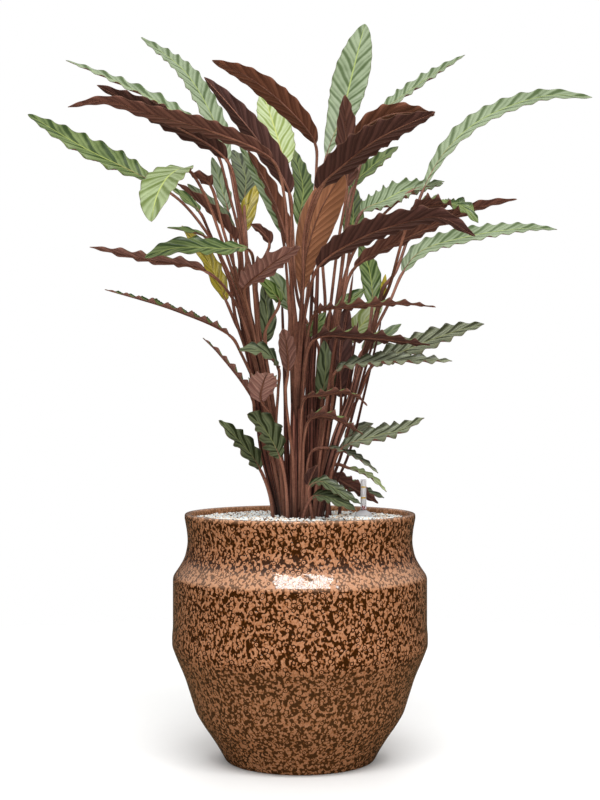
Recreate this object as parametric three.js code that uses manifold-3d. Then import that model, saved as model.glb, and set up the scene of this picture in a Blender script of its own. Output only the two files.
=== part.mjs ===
// A potted prayer plant, the velvet kind with long wavy leaves, green above and maroon below.
// It grows in a culture pot that is sunk in clay pebbles inside a glazed stoneware planter,
// under a dressing of light granulate, with a water gauge at the culture pot's edge.
// Millimetres, +Z up, -Y to the front, origin at the centre of the planter's foot.
import * as THREE from 'three';
import { mergeVertices } from 'three/addons/utils/BufferGeometryUtils.js';
import Module from 'manifold-3d';

const wasm = await Module();
wasm.setup();

// Clearance between pieces that rest on or in each other.
const GAP = 0.3;

// The planter: foot, belly ridge, shoulder ridge, waisted neck and soft rim.
const PLANTER = {
  height: 404,
  rimRadius: 190.5,
  neckRadius: 184.5,
  neckHeight: 355,
  shoulderRadius: 209,
  shoulderHeight: 299,
  bellyRadius: 210.3,
  bellyHeight: 189,
  heelRadius: 171,
  heelHeight: 78,
  footRadius: 122,
  wall: 12,
  floor: 16,
  sides: 32,
};

// The fill, from the bottom up: pebbles round the culture pot, its root ball, and the dressing.
const PEBBLES_TOP = 366;
const DRESSING = { top: 391, mound: 4, grain: 1.6, rings: 5 };
const CULTURE_POT = { radius: 99, footRadius: 84, bottom: 176, top: 365, wall: 1.8, rim: 2.5, rimHeight: 6 };
const ROOT_BALL_TOP = 362;

// The water gauge: a casing in the fill, a flange on the dressing, and a clear sight tube.
const GAUGE = {
  x: 106,
  y: 31,
  bottom: 180,
  casingRadius: 9,
  casingBore: 7.4,
  lipBore: 4,
  lipHeight: 3,
  flangeRadius: 14.5,
  flangeBottom: 395.5,
  flangeTop: 405,
  tubeRadius: 4.8,
  tubeBore: 3.5,
  top: 457,
  sides: 14,
};
const FLOAT = { radius: 6.2, length: 70, rodRadius: 1.2, tipRadius: 2.6, tipLength: 7, top: 409 };

// Places on the plant are taken by eye from the front, on the upright plane through the planter's axis.
// A place is [x, depth, z]: depth is how far it lies behind that plane, less than zero in front of it,
// and x and z are where its line of sight meets the plane. Depths are written as in a bundle tied at its
// crown, and the loose clump flares from there, by a share of the depth for each millimetre of height.
const EYE = { height: 583, distance: 2475 };
const FLARE = { crown: 403, perHeight: 0.0015 };

// Shoots are columns of clasping leaf sheaths: places from the ground up, and radius at foot and top.
const SHOOT_SIDES = 12;
const SHEATH = { lobes: 3, depth: 0.08, rings: 8, flat: 0.99 };
const SHOOTS = {
  centre: {
    path: [[-5, -10, 403], [-5, -10, 523], [-3, -11, 631], [3, -12, 725]],
    foot: 16,
    top: 9,
  },
  left: {
    path: [[-26, 12, 403], [-38, 9, 507], [-51, 5, 589], [-69, 0, 672], [-79, -3, 718]],
    foot: 11,
    top: 5,
  },
  left_back: {
    path: [[-42, 44, 403], [-60, 44, 507], [-71, 40, 589], [-85, 35, 672], [-97, 30, 725]],
    foot: 10,
    top: 5,
  },
  right_back: {
    path: [[17, 40, 403], [25, 44, 507], [32, 48, 589], [42, 52, 672], [50, 54, 738]],
    foot: 12,
    top: 6,
  },
  right: {
    path: [[36, 2, 403], [58, -2, 523], [83, -5, 589], [102, -6, 655], [119, -6, 705], [132, -6, 754]],
    foot: 10,
    top: 4,
  },
};

// A blade is a sheet with a keel under its midrib, and its petiole thins upwards from the foot.
const BLADE = { sheet: 1.15, keel: 1.2, neck: 2.4, tip: 0.8, widest: 0.38, bluntness: 0.64, wave: 4, waveLength: 27.5, ringsPerWave: 2 };
const PETIOLE = { sides: 6, foot: 3, joint: 2.3, clasp: 20, step: 55, play: 2 };

// Leaves: the shoot and how far up it the petiole leaves (1 is its top), or the ground at [x, y];
// the places that the petiole passes; the places of the midrib from neck to tip; the way the green face
// looks at the neck and at the tip; half the width; and how far each half is raised, in degrees.
const LEAVES = {
  leaf_01: {
    shoot: 'left_back', at: 0.93, stem: [[-124, 22, 812], [-190, 8, 911]],
    blade: [[-247, 2, 951], [-355, 14, 1005], [-449, 34, 1061]],
    face: [0.3, -0.75, 0.6], half: 26, fold: 14,
  },
  leaf_02: {
    shoot: 'left', at: 0.93, stem: [[-107, -38, 787], [-132, -52, 862], [-153, -66, 919]],
    blade: [[-182, -82, 968], [-213, -124, 962], [-236, -164, 926], [-245, -190, 884]],
    face: [-0.1, -0.6, 0.8], faceTip: [-0.35, -0.95, 0.1], half: 33, fold: 10, widest: 0.5,
  },
  leaf_03: {
    shoot: 'left', at: 0.78, stem: [[-98, 4, 772]],
    blade: [[-106, -12, 852], [-153, -28, 904], [-203, -40, 947]],
    face: [0.6, 0.35, 0.7], half: 20, fold: 22,
  },
  leaf_04: {
    shoot: 'left_back', at: 0.6, stem: [[-72, 30, 771], [-94, 32, 853], [-106, 34, 919]],
    blade: [[-119, 40, 985], [-144, 56, 1055], [-190, 92, 1131], [-262, 135, 1188]],
    face: [0.35, -0.85, 0.4], half: 22, fold: 12,
  },
  leaf_05: {
    shoot: 'left_back', at: 0.97, stem: [[-99, 18, 853], [-119, 10, 936]],
    blade: [[-140, 6, 1002], [-205, 14, 1063], [-297, 34, 1112], [-386, 56, 1150]],
    face: [0.35, -0.5, 0.75], half: 20, fold: 14,
  },
  leaf_06: {
    shoot: 'left', at: 1, stem: [[-90, -14, 845], [-102, -20, 919]],
    blade: [[-122, -28, 987], [-231, -48, 1055], [-335, -70, 1109]],
    face: [0.3, 0.65, 0.7], half: 24, fold: 16,
  },
  leaf_07: {
    shoot: 'centre', at: 0.78, stem: [[-13, -38, 771], [-21, -56, 853], [-25, -64, 919]],
    blade: [[-45, -74, 985], [-149, -92, 1035], [-247, -108, 1062], [-322, -118, 1083], [-383, -128, 1073]],
    face: [0.1, 0.6, 0.8], half: 18, fold: 10,
  },
  leaf_08: {
    shoot: 'centre', at: 0.9, stem: [[-12, -30, 771], [-15, -40, 850]],
    blade: [[-17, -46, 931], [-63, -42, 1010], [-116, -36, 1076], [-158, -30, 1122]],
    face: [0.5, 0.8, 0.35], half: 23, fold: 16,
  },
  leaf_09: {
    shoot: 'centre', at: 0.84, stem: [[-15, -18, 771]],
    blade: [[-18, -24, 840], [-33, -22, 895], [-58, -16, 952], [-87, -10, 1002]],
    face: [0.6, 0.65, 0.35], half: 16, fold: 18,
  },
  leaf_10: {
    shoot: 'centre', at: 0.93, stem: [[13, 14, 771], [20, 12, 886], [27, 6, 970]],
    blade: [[25, 0, 1013], [-17, -20, 1068], [-83, -45, 1121], [-145, -70, 1150]],
    face: [0.2, 0.8, 0.55], half: 21, fold: 14,
  },
  leaf_11: {
    shoot: 'right_back', at: 0.75, stem: [[-3, 46, 754], [-13, 52, 886]],
    blade: [[-25, 62, 977], [-41, 88, 1035], [-62, 130, 1098]],
    face: [0.1, -0.9, 0.35], half: 30, fold: 12,
  },
  leaf_12: {
    shoot: 'right_back', at: 0.88, stem: [[4, 62, 800]],
    blade: [[-2, 76, 878], [5, 98, 936], [-13, 140, 1007]],
    face: [0.25, -0.85, 0.35], half: 19, fold: 14,
  },
  leaf_13: {
    shoot: 'left_back', at: 1, stem: [[-88, 44, 820]],
    blade: [[-92, 60, 911], [-90, 88, 958], [-111, 130, 1002]],
    face: [0.1, -0.85, 0.5], half: 22, fold: 14,
  },
  leaf_14: {
    shoot: 'left', at: 0.8, stem: [[-76, -26, 771]],
    blade: [[-83, -54, 837], [-124, -76, 839], [-206, -100, 840], [-256, -114, 824]],
    face: [0.05, -0.65, 0.75], half: 24, fold: 10, widest: 0.5,
  },
  leaf_15: {
    shoot: 'left', at: 0.72, stem: [[-108, -14, 752]],
    blade: [[-155, -20, 802], [-256, -30, 822], [-347, -42, 842]],
    face: [-0.1, 0.3, 0.95], half: 18, fold: 12,
  },
  leaf_16: {
    shoot: 'left', at: 0.52, stem: [[-96, -20, 664]],
    blade: [[-116, -30, 697], [-198, -48, 735], [-322, -72, 772]],
    face: [0.2, 0.15, 0.95], half: 17, fold: 14,
  },
  leaf_17: {
    shoot: 'left', at: 0.33, stem: [[-74, -14, 560]],
    blade: [[-79, -28, 594], [-132, -46, 664], [-160, -58, 692]],
    face: [0.7, 0.1, 0.7], half: 15, fold: 14,
  },
  leaf_18: {
    shoot: 'left_back', at: 0.8, stem: [[-106, 50, 715]],
    blade: [[-122, 52, 754], [-157, 58, 829], [-195, 68, 877]],
    face: [0.4, -0.75, 0.5], half: 17, fold: 12,
  },
  leaf_19: {
    shoot: 'left', at: 0.64, stem: [[-84, -30, 735]],
    blade: [[-91, -50, 774], [-63, -76, 801], [-33, -102, 824], [0, -124, 843]],
    face: [-0.35, 0.8, 0.5], half: 25, fold: 12,
  },
  leaf_20: {
    shoot: 'centre', at: 1, stem: [],
    blade: [[2, -14, 757], [8, -16, 817], [32, -22, 898], [71, -34, 966]],
    face: [0.1, 0.97, 0.1], half: 36, fold: 34, widest: 0.62,
  },
  leaf_21: {
    shoot: 'left', at: 0.6, stem: [[-58, 16, 650]],
    blade: [[-56, 16, 685], [-54, 20, 730], [-62, 26, 779]],
    face: [0.2, -0.85, 0.4], half: 15, fold: 16,
  },
  leaf_22: {
    shoot: 'left', at: 0.45, stem: [[-36, -24, 606]],
    blade: [[-36, -40, 644], [-63, -56, 669], [-101, -64, 672]],
    face: [0.1, -0.6, 0.8], half: 17, fold: 14,
  },
  leaf_23: {
    shoot: 'centre', at: 0.4, stem: [[-24, -46, 600]],
    blade: [[-20, -54, 637], [-22, -86, 680], [-28, -122, 707]],
    face: [0, 0.65, 0.75], half: 14, fold: 14,
  },
  leaf_24: {
    shoot: 'left', at: 0.2, stem: [[-46, -28, 560]],
    blade: [[-63, -34, 586], [-60, -90, 620], [-53, -140, 634]],
    face: [0, 0.5, 0.85], half: 24, fold: 14,
  },
  leaf_25: {
    ground: [-20, -38], stem: [[-24, -40, 450]],
    blade: [[-33, -48, 494], [-58, -68, 540], [-87, -92, 566]],
    face: [0.3, -0.8, 0.5], half: 25, fold: 12,
  },
  leaf_26: {
    ground: [-44, -14], stem: [[-50, -20, 433]],
    blade: [[-66, -28, 476], [-87, -40, 507], [-134, -64, 556]],
    face: [0.3, -0.75, 0.6], half: 19, fold: 12,
  },
  leaf_27: {
    shoot: 'right_back', at: 0.97, stem: [[36, 58, 837], [36, 62, 919]],
    blade: [[43, 68, 990], [69, 80, 1060], [87, 96, 1130], [107, 116, 1210]],
    face: [-0.15, -0.93, 0.3], half: 33, fold: 10, widest: 0.55,
  },
  leaf_28: {
    shoot: 'centre', at: 0.88, stem: [[5, -34, 771], [8, -46, 870]],
    blade: [[30, -60, 937], [74, -82, 980], [132, -108, 1023], [223, -138, 1065]],
    face: [-0.2, 0.75, 0.6], half: 29, fold: 16,
  },
  leaf_29: {
    shoot: 'right_back', at: 0.9, stem: [[63, 40, 850]],
    blade: [[78, 34, 942], [76, 18, 1018], [74, -4, 1093]],
    face: [0.2, 0.95, 0.2], half: 23, fold: 30,
  },
  leaf_30: {
    shoot: 'right_back', at: 0.82, stem: [[69, 58, 804], [83, 58, 903], [102, 62, 985]],
    blade: [[129, 72, 1055], [198, 96, 1112], [272, 126, 1159]],
    face: [-0.35, -0.6, 0.7], half: 18, fold: 14,
  },
  leaf_31: {
    shoot: 'right_back', at: 0.7, stem: [[66, 74, 790], [74, 78, 862]],
    blade: [[86, 84, 939], [120, 100, 976], [162, 124, 1008]],
    face: [-0.3, -0.75, 0.6], half: 19, fold: 14,
  },
  leaf_32: {
    shoot: 'right_back', at: 0.55, stem: [[70, 88, 760]],
    blade: [[83, 100, 845], [88, 124, 895], [86, 158, 946]],
    face: [0, -0.9, 0.4], half: 20, fold: 14,
  },
  leaf_33: {
    shoot: 'right_back', at: 0.62, stem: [[74, 40, 779], [86, 42, 853]],
    blade: [[102, 46, 900], [140, 56, 919], [173, 66, 936], [236, 84, 947]],
    face: [-0.15, -0.75, 0.6], half: 24, fold: 12,
  },
  leaf_34: {
    shoot: 'right', at: 0.88, stem: [[148, -46, 779], [168, -76, 850]],
    blade: [[185, -84, 895], [215, -90, 911], [268, -104, 908], [294, -112, 882]],
    face: [0, 0.85, 0.5], faceTip: [0, -0.85, 0.5], half: 18, fold: 14,
  },
  leaf_35: {
    shoot: 'centre', at: 0.82, stem: [[12, -44, 750]],
    blade: [[30, -56, 809], [91, -84, 853], [173, -112, 883], [231, -128, 891], [289, -144, 860]],
    face: [-0.1, 0.65, 0.75], half: 26, fold: 14,
  },
  leaf_36: {
    ground: [22, -26], stem: [[36, -24, 520], [46, -22, 600], [59, -22, 690], [72, -22, 759]],
    blade: [[91, -28, 809], [190, -50, 865], [297, -70, 909], [358, -82, 921]],
    face: [-0.25, 0.55, 0.8], half: 20, fold: 12,
  },
  leaf_37: {
    shoot: 'right', at: 0.75, stem: [[149, 12, 754]],
    blade: [[170, 22, 801], [198, 28, 834], [281, 42, 860], [380, 58, 873], [424, 66, 871]],
    face: [-0.1, -0.65, 0.75], half: 22, fold: 12,
  },
  leaf_38: {
    shoot: 'right', at: 1, stem: [[157, 8, 800], [182, 22, 870]],
    blade: [[203, 32, 936], [239, 46, 999], [297, 62, 1051], [404, 84, 1091], [482, 98, 1089]],
    face: [-0.4, -0.75, 0.55], half: 22, fold: 12, widest: 0.52,
  },
  leaf_39: {
    shoot: 'right', at: 0.68, stem: [],
    blade: [[119, 30, 744], [116, 52, 796], [99, 84, 848]],
    face: [0, -0.9, 0.4], half: 18, fold: 16,
  },
  leaf_40: {
    shoot: 'centre', at: 0.74, stem: [],
    blade: [[24, -30, 731], [83, -62, 743], [165, -80, 748], [224, -92, 743]],
    face: [0, 0.25, 0.97], half: 16, fold: 12,
  },
  leaf_41: {
    shoot: 'centre', at: 0.55, stem: [],
    blade: [[22, -40, 688], [99, -62, 693], [215, -90, 680]],
    face: [0, 0.45, 0.9], half: 18, fold: 12,
  },
  leaf_42: {
    shoot: 'right', at: 0.28, stem: [[66, 16, 560]],
    blade: [[68, 22, 594], [66, 24, 672], [78, 28, 746]],
    face: [0.3, 0.9, 0.1], half: 20, fold: 20,
  },
  leaf_43: {
    shoot: 'right', at: 0.38, stem: [[101, 4, 604]],
    blade: [[119, 2, 646], [182, -8, 675], [264, -22, 705], [304, -30, 715]],
    face: [-0.2, -0.75, 0.6], half: 22, fold: 12,
  },
  leaf_44: {
    shoot: 'right', at: 0.22, stem: [[54, -26, 590]],
    blade: [[59, -40, 637], [132, -58, 654], [251, -82, 654]],
    face: [0, -0.5, 0.85], half: 18, fold: 12,
  },
  leaf_45: {
    ground: [44, -22], stem: [[53, -28, 471]],
    blade: [[69, -36, 510], [124, -50, 530], [165, -60, 540], [205, -70, 560]],
    face: [-0.1, -0.6, 0.8], half: 20, fold: 12,
  },
  leaf_46: {
    shoot: 'centre', at: 0.3, stem: [],
    blade: [[15, -34, 556], [50, -56, 562], [104, -86, 533]],
    face: [0, 0.5, 0.85], half: 16, fold: 12,
  },
  leaf_47: {
    ground: [50, 24], stem: [],
    blade: [[48, 44, 465], [80, 54, 450], [108, 60, 433], [129, 64, 419]],
    face: [0, 0.6, 0.75], half: 15, fold: 12,
  },
  leaf_48: {
    ground: [4, -48], stem: [],
    blade: [[21, -58, 430], [50, -80, 428], [91, -112, 408]],
    face: [0, -0.6, 0.75], half: 15, fold: 12,
  },
};

const MATERIALS = {
  glaze: new THREE.MeshStandardMaterial({ color: 0x7b543c, roughness: 0.25, metalness: 0 }),
  granulate: new THREE.MeshStandardMaterial({ color: 0xcfd0c6, roughness: 0.85, metalness: 0 }),
  clay: new THREE.MeshStandardMaterial({ color: 0x8a5233, roughness: 0.9, metalness: 0 }),
  culturePot: new THREE.MeshStandardMaterial({ color: 0x5a3a2a, roughness: 0.5, metalness: 0 }),
  roots: new THREE.MeshStandardMaterial({ color: 0x6d5540, roughness: 0.95, metalness: 0 }),
  gauge: new THREE.MeshStandardMaterial({ color: 0xdfe2e2, roughness: 0.1, metalness: 0 }),
  float: new THREE.MeshStandardMaterial({ color: 0xc8322c, roughness: 0.4, metalness: 0 }),
  sheath: new THREE.MeshStandardMaterial({ color: 0x693731, roughness: 0.6, metalness: 0 }),
  green: new THREE.MeshStandardMaterial({ color: 0x64825a, roughness: 0.55, metalness: 0 }),
  maroon: new THREE.MeshStandardMaterial({ color: 0x553430, roughness: 0.65, metalness: 0 }),
};

const plant = new THREE.Group();

function add(name, geometry, material) {
  const mesh = new THREE.Mesh(geometry, material);
  mesh.name = name;
  plant.add(mesh);
}

// A seeded source of even random numbers from 0 to 1.
function seededRandom(seed) {
  let state = seed;
  return () => {
    state = (state * 1664525 + 1013904223) % 4294967296;
    return state / 4294967296;
  };
}

function toSolid(geometry) {
  const bare = geometry.clone();
  bare.deleteAttribute('normal');
  bare.deleteAttribute('uv');
  const merged = mergeVertices(bare, 1e-4);
  return new wasm.Manifold(new wasm.Mesh({
    numProp: 3,
    vertProperties: new Float32Array(merged.attributes.position.array),
    triVerts: new Uint32Array(merged.index.array),
  }));
}

function toGeometry(solid) {
  const mesh = solid.getMesh();
  const geometry = new THREE.BufferGeometry();
  geometry.setAttribute('position', new THREE.BufferAttribute(new Float32Array(mesh.vertProperties), 3));
  geometry.setIndex(new THREE.BufferAttribute(new Uint32Array(mesh.triVerts), 1));
  geometry.computeVertexNormals();
  return geometry;
}

// A turned solid, from a profile of [radius, height] that runs up the outside and ends on the axis.
function turned(profile, sides, x = 0, y = 0) {
  const points = profile.map(([radius, height]) => new THREE.Vector2(radius, height));
  const geometry = new THREE.LatheGeometry(points, sides);
  geometry.rotateX(Math.PI / 2);
  geometry.translate(x, y, 0);
  return geometry;
}

// Where a place on the plant truly is.
function sighted([x, depth, z]) {
  const flared = depth * (1 + FLARE.perHeight * Math.max(0, z - FLARE.crown));
  const spread = 1 + flared / EYE.distance;
  return new THREE.Vector3(x * spread, flared, EYE.height + (z - EYE.height) * spread);
}

// Rings of points joined into one closed skin. Each ring runs anticlockwise seen from the far end. The
// two halves of a ring are split into triangles alike, so that a waved sheet keeps its thickness.
function skin(rings) {
  const size = rings[0].length;
  const last = rings.length - 1;
  const index = [];
  for (let ring = 0; ring < last; ring += 1) {
    for (let side = 0; side < size; side += 1) {
      const a = ring * size + side;
      const b = ring * size + (side + 1) % size;
      if (side < size / 2) {
        index.push(a, b, b + size, a, b + size, a + size);
      } else {
        index.push(a, b, a + size, b, b + size, a + size);
      }
    }
  }
  for (let side = 1; side < size - 1; side += 1) {
    index.push(0, side + 1, side);
    index.push(last * size, last * size + side, last * size + side + 1);
  }
  const geometry = new THREE.BufferGeometry();
  geometry.setAttribute(
    'position',
    new THREE.Float32BufferAttribute(rings.flat().flatMap((point) => point.toArray()), 3),
  );
  geometry.setIndex(index);
  geometry.computeVertexNormals();
  return geometry;
}

// The planter's outside from its foot up to just under the rim.
function planterOutside() {
  const p = PLANTER;
  return [
    [p.footRadius + 2, 2],
    [p.footRadius + 10.5, 18],
    [145, 38],
    [159, 58],
    [p.heelRadius, p.heelHeight],
    [p.heelRadius + 18.5, 137],
    [202.6, 167],
    [p.bellyRadius - 1, p.bellyHeight - 5],
    [p.bellyRadius, p.bellyHeight],
    [p.bellyRadius, p.bellyHeight + 16],
    [p.shoulderRadius, p.bellyHeight + 28],
    [p.shoulderRadius, p.shoulderHeight],
    [p.shoulderRadius - 2.5, p.shoulderHeight + 6.5],
    [p.shoulderRadius - 10.5, p.shoulderHeight + 16.5],
    [p.neckRadius + 5, 331],
    [p.neckRadius, p.neckHeight],
    [p.neckRadius + 1.5, p.neckHeight + 20],
    [p.rimRadius, p.height - 6],
  ];
}

// The planter's inside from its floor up to the rim, a wall's thickness in, less the clearance given.
function planterInside(clearance) {
  const p = PLANTER;
  const inset = p.wall + clearance;
  return [
    [p.footRadius + 2 - clearance, p.floor + clearance],
    [159 - inset, 58],
    [p.heelRadius - inset, p.heelHeight],
    [p.heelRadius + 18.5 - inset, 137],
    [p.bellyRadius - inset, p.bellyHeight],
    [p.shoulderRadius - inset, p.shoulderHeight],
    [p.neckRadius + 4 - inset, 330],
    [p.neckRadius - inset, p.neckHeight],
    [p.rimRadius - inset, p.height - 8],
  ];
}

function planter() {
  const p = PLANTER;
  const rim = [
    [p.rimRadius - 1.6, p.height - 1.6],
    [p.rimRadius - 6, p.height],
    [p.rimRadius - p.wall + 1.6, p.height - 2],
  ];
  const inside = planterInside(0).reverse();
  const profile = [[0, 0], [p.footRadius, 0], ...planterOutside(), ...rim, ...inside, [0, p.floor]];
  return turned(profile, p.sides);
}

// The fill's radius at any height, on the straight line between the wall's points.
function fillRadius(height) {
  const wall = planterInside(GAP);
  const above = wall.findIndex(([, z]) => z >= height);
  const [r0, z0] = wall[above - 1];
  const [r1, z1] = wall[above];
  return r0 + (r1 - r0) * (height - z0) / (z1 - z0);
}

// An upright round hole through the fill, from a height given up to the planter's rim.
function plainHole(radius, sides, x, y, from = ROOT_BALL_TOP) {
  return toSolid(turned([[0, from], [radius, from], [radius, PLANTER.height], [0, PLANTER.height]], sides, x, y));
}

function gaugeHole() {
  return plainHole(GAUGE.casingRadius + GAP, GAUGE.sides, GAUGE.x, GAUGE.y, GAUGE.bottom - GAP);
}

function pebbles() {
  const pot = CULTURE_POT;
  const rimSide = pot.radius + pot.rim + GAP;
  const rimFoot = pot.top - pot.rimHeight - GAP;
  const profile = [
    [0, PLANTER.floor + GAP],
    ...planterInside(GAP).filter(([, height]) => height < PEBBLES_TOP),
    [fillRadius(PEBBLES_TOP), PEBBLES_TOP],
    [rimSide, PEBBLES_TOP],
    [rimSide, rimFoot],
    [pot.radius + GAP, rimFoot],
    [pot.footRadius + GAP, pot.bottom - GAP],
    [0, pot.bottom - GAP],
  ];
  const body = toSolid(turned(profile, PLANTER.sides));
  return toGeometry(body.subtract(gaugeHole()));
}

function culturePot() {
  const pot = CULTURE_POT;
  return turned([
    [0, pot.bottom],
    [pot.footRadius, pot.bottom],
    [pot.radius, pot.top - pot.rimHeight],
    [pot.radius + pot.rim, pot.top - pot.rimHeight],
    [pot.radius + pot.rim, pot.top],
    [pot.radius - pot.wall, pot.top],
    [pot.footRadius - pot.wall, pot.bottom + pot.wall],
    [0, pot.bottom + pot.wall],
  ], PLANTER.sides);
}

function rootBall() {
  const pot = CULTURE_POT;
  const inset = pot.wall + GAP * 2;
  return turned([
    [0, pot.bottom + pot.wall + GAP],
    [pot.footRadius - inset, pot.bottom + pot.wall + GAP],
    [pot.radius - inset, ROOT_BALL_TOP - 4],
    [pot.radius - inset - 4, ROOT_BALL_TOP],
    [0, ROOT_BALL_TOP],
  ], PLANTER.sides);
}

// The dressing lies in a low mound of grains, with a hole for each stem and for the gauge.
function dressing(holes) {
  const random = seededRandom(7);
  const { rings, mound, grain } = DRESSING;
  const sides = PLANTER.sides;
  const low = PEBBLES_TOP + GAP;
  const ringAt = (radius, height, roughness) => {
    const ring = [];
    for (let side = 0; side < sides; side += 1) {
      const angle = side / sides * Math.PI * 2;
      const lift = (random() - 0.5) * 2 * roughness;
      ring.push(new THREE.Vector3(Math.cos(angle) * radius, Math.sin(angle) * radius, height + lift));
    }
    return ring;
  };
  const edge = DRESSING.top - grain;
  const layers = [ringAt(2, low, 0), ringAt(fillRadius(low), low, 0), ringAt(fillRadius(edge), edge, 0)];
  for (let ring = rings; ring >= 0; ring -= 1) {
    const share = ring / (rings + 1);
    const height = DRESSING.top + mound * Math.cos(share * Math.PI / 2);
    layers.push(ringAt(2 + (fillRadius(edge) - 2) * share, height, ring ? grain : 0));
  }
  let body = toSolid(skin(layers));
  for (const hole of holes) {
    body = body.subtract(hole);
  }
  return toGeometry(body.subtract(gaugeHole()));
}

function gaugeTube() {
  const g = GAUGE;
  return turned([
    [g.lipBore, g.bottom],
    [g.casingRadius, g.bottom],
    [g.casingRadius, g.flangeBottom],
    [g.flangeRadius, g.flangeBottom],
    [g.flangeRadius, g.flangeBottom + 3],
    [g.flangeRadius - 3, g.flangeTop - 2],
    [g.tubeRadius + 1.5, g.flangeTop],
    [g.tubeRadius, g.flangeTop + 1.5],
    [g.tubeRadius, g.top - 1],
    [g.tubeRadius - 1, g.top],
    [0, g.top],
    [0, g.top - 1.5],
    [g.tubeBore, g.top - 1.5],
    [g.tubeBore, g.flangeBottom - 4],
    [g.casingBore, g.flangeBottom - 6],
    [g.casingBore, g.bottom + g.lipHeight],
    [g.lipBore, g.bottom + g.lipHeight],
    [g.lipBore, g.bottom],
  ], g.sides, g.x, g.y);
}

function gaugeFloat() {
  const low = GAUGE.bottom + GAUGE.lipHeight + GAP;
  return turned([
    [0, low],
    [FLOAT.radius - 1.5, low],
    [FLOAT.radius, low + 3],
    [FLOAT.radius, low + FLOAT.length],
    [FLOAT.rodRadius, low + FLOAT.length + 5],
    [FLOAT.rodRadius, FLOAT.top - FLOAT.tipLength],
    [FLOAT.tipRadius, FLOAT.top - FLOAT.tipLength + 1],
    [FLOAT.tipRadius, FLOAT.top - 1],
    [FLOAT.tipRadius - 1, FLOAT.top],
    [0, FLOAT.top],
  ], 10, GAUGE.x, GAUGE.y);
}

// A shoot's centre line, which stands upright in the dressing, on the root ball.
function shootLine(shoot) {
  const places = shoot.path.map(sighted);
  const foot = places[0].clone().setZ(ROOT_BALL_TOP + GAP);
  return new THREE.CatmullRomCurve3([foot, ...places], false, 'centripetal');
}

// A shoot's two directions across, to its right and to its back, where it runs along the one given.
function shootAcross(along) {
  const right = new THREE.Vector3(0, 1, 0).cross(along).normalize();
  return [right, along.clone().cross(right)];
}

// A shoot's radius, which swells at the lobe of each sheath that clasps it.
function shootRadius(shoot, share, angle) {
  const lobe = 1 - SHEATH.depth * (1 - Math.abs(Math.cos(SHEATH.lobes * angle / 2)));
  return THREE.MathUtils.lerp(shoot.foot, shoot.top, share) * lobe;
}

// The rings of a shoot, swollen by the clearance given.
function shootRings(shoot, swell) {
  const line = shootLine(shoot);
  const rings = [];
  for (let step = 0; step <= SHEATH.rings; step += 1) {
    const share = step / SHEATH.rings;
    const centre = line.getPoint(share);
    const along = line.getTangent(share);
    const [right, back] = shootAcross(along);
    const ring = [];
    for (let side = 0; side < SHOOT_SIDES; side += 1) {
      const angle = side / SHOOT_SIDES * Math.PI * 2;
      const radius = shootRadius(shoot, share, angle) + swell;
      ring.push(centre.clone()
        .addScaledVector(right, Math.cos(angle) * radius)
        .addScaledVector(back, Math.sin(angle) * radius));
    }
    rings.push(ring);
  }
  return rings;
}

// Where a leaf's petiole starts, and which way it sets off.
function leafFoot(leaf) {
  if (leaf.ground) {
    const [x, y] = leaf.ground;
    const foot = new THREE.Vector3(x, y, ROOT_BALL_TOP + GAP);
    return [foot, foot.clone().setZ(DRESSING.top + DRESSING.mound)];
  }
  const shoot = SHOOTS[leaf.shoot];
  const line = shootLine(shoot);
  const centre = line.getPoint(leaf.at);
  const along = line.getTangent(leaf.at);
  if (leaf.at === 1) {
    const foot = centre.clone().addScaledVector(along, GAP * 2);
    return [foot, foot.clone().addScaledVector(along, PETIOLE.clasp)];
  }
  const aim = sighted(leaf.stem[0] ?? leaf.blade[0]).sub(centre);
  const away = aim.addScaledVector(along, -aim.dot(along)).normalize();
  const [right, back] = shootAcross(along);
  const bearing = Math.atan2(away.dot(back), away.dot(right));
  const reach = shootRadius(shoot, leaf.at, bearing) * SHEATH.flat + PETIOLE.foot + GAP;
  const foot = centre.clone().addScaledVector(away, reach);
  const next = foot.clone().addScaledVector(along, PETIOLE.clasp).addScaledVector(away, 1);
  return [foot, next];
}

// Points at even distances along part of a curve.
function evenPoints(curve, from, to, count) {
  const fine = [];
  for (let step = 0; step <= 200; step += 1) {
    fine.push(curve.getPoint(THREE.MathUtils.lerp(from, to, step / 200)));
  }
  const reach = [0];
  for (let step = 1; step < fine.length; step += 1) {
    reach.push(reach[step - 1] + fine[step].distanceTo(fine[step - 1]));
  }
  const points = [];
  let step = 1;
  for (let number = 0; number <= count; number += 1) {
    const goal = reach[reach.length - 1] * number / count;
    while (step < fine.length - 1 && reach[step] < goal) {
      step += 1;
    }
    const share = (goal - reach[step - 1]) / (reach[step] - reach[step - 1]);
    points.push(fine[step - 1].clone().lerp(fine[step], share));
  }
  return points;
}

function pathLength(points) {
  let length = 0;
  for (let step = 1; step < points.length; step += 1) {
    length += points[step].distanceTo(points[step - 1]);
  }
  return length;
}

// How wide the blade is at a share of its length, from 0 to 1 of its full width.
function bladeWidth(share, widest) {
  const bend = Math.log(0.5) / Math.log(widest);
  return Math.sin(Math.PI * share ** bend) ** BLADE.bluntness;
}

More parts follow.
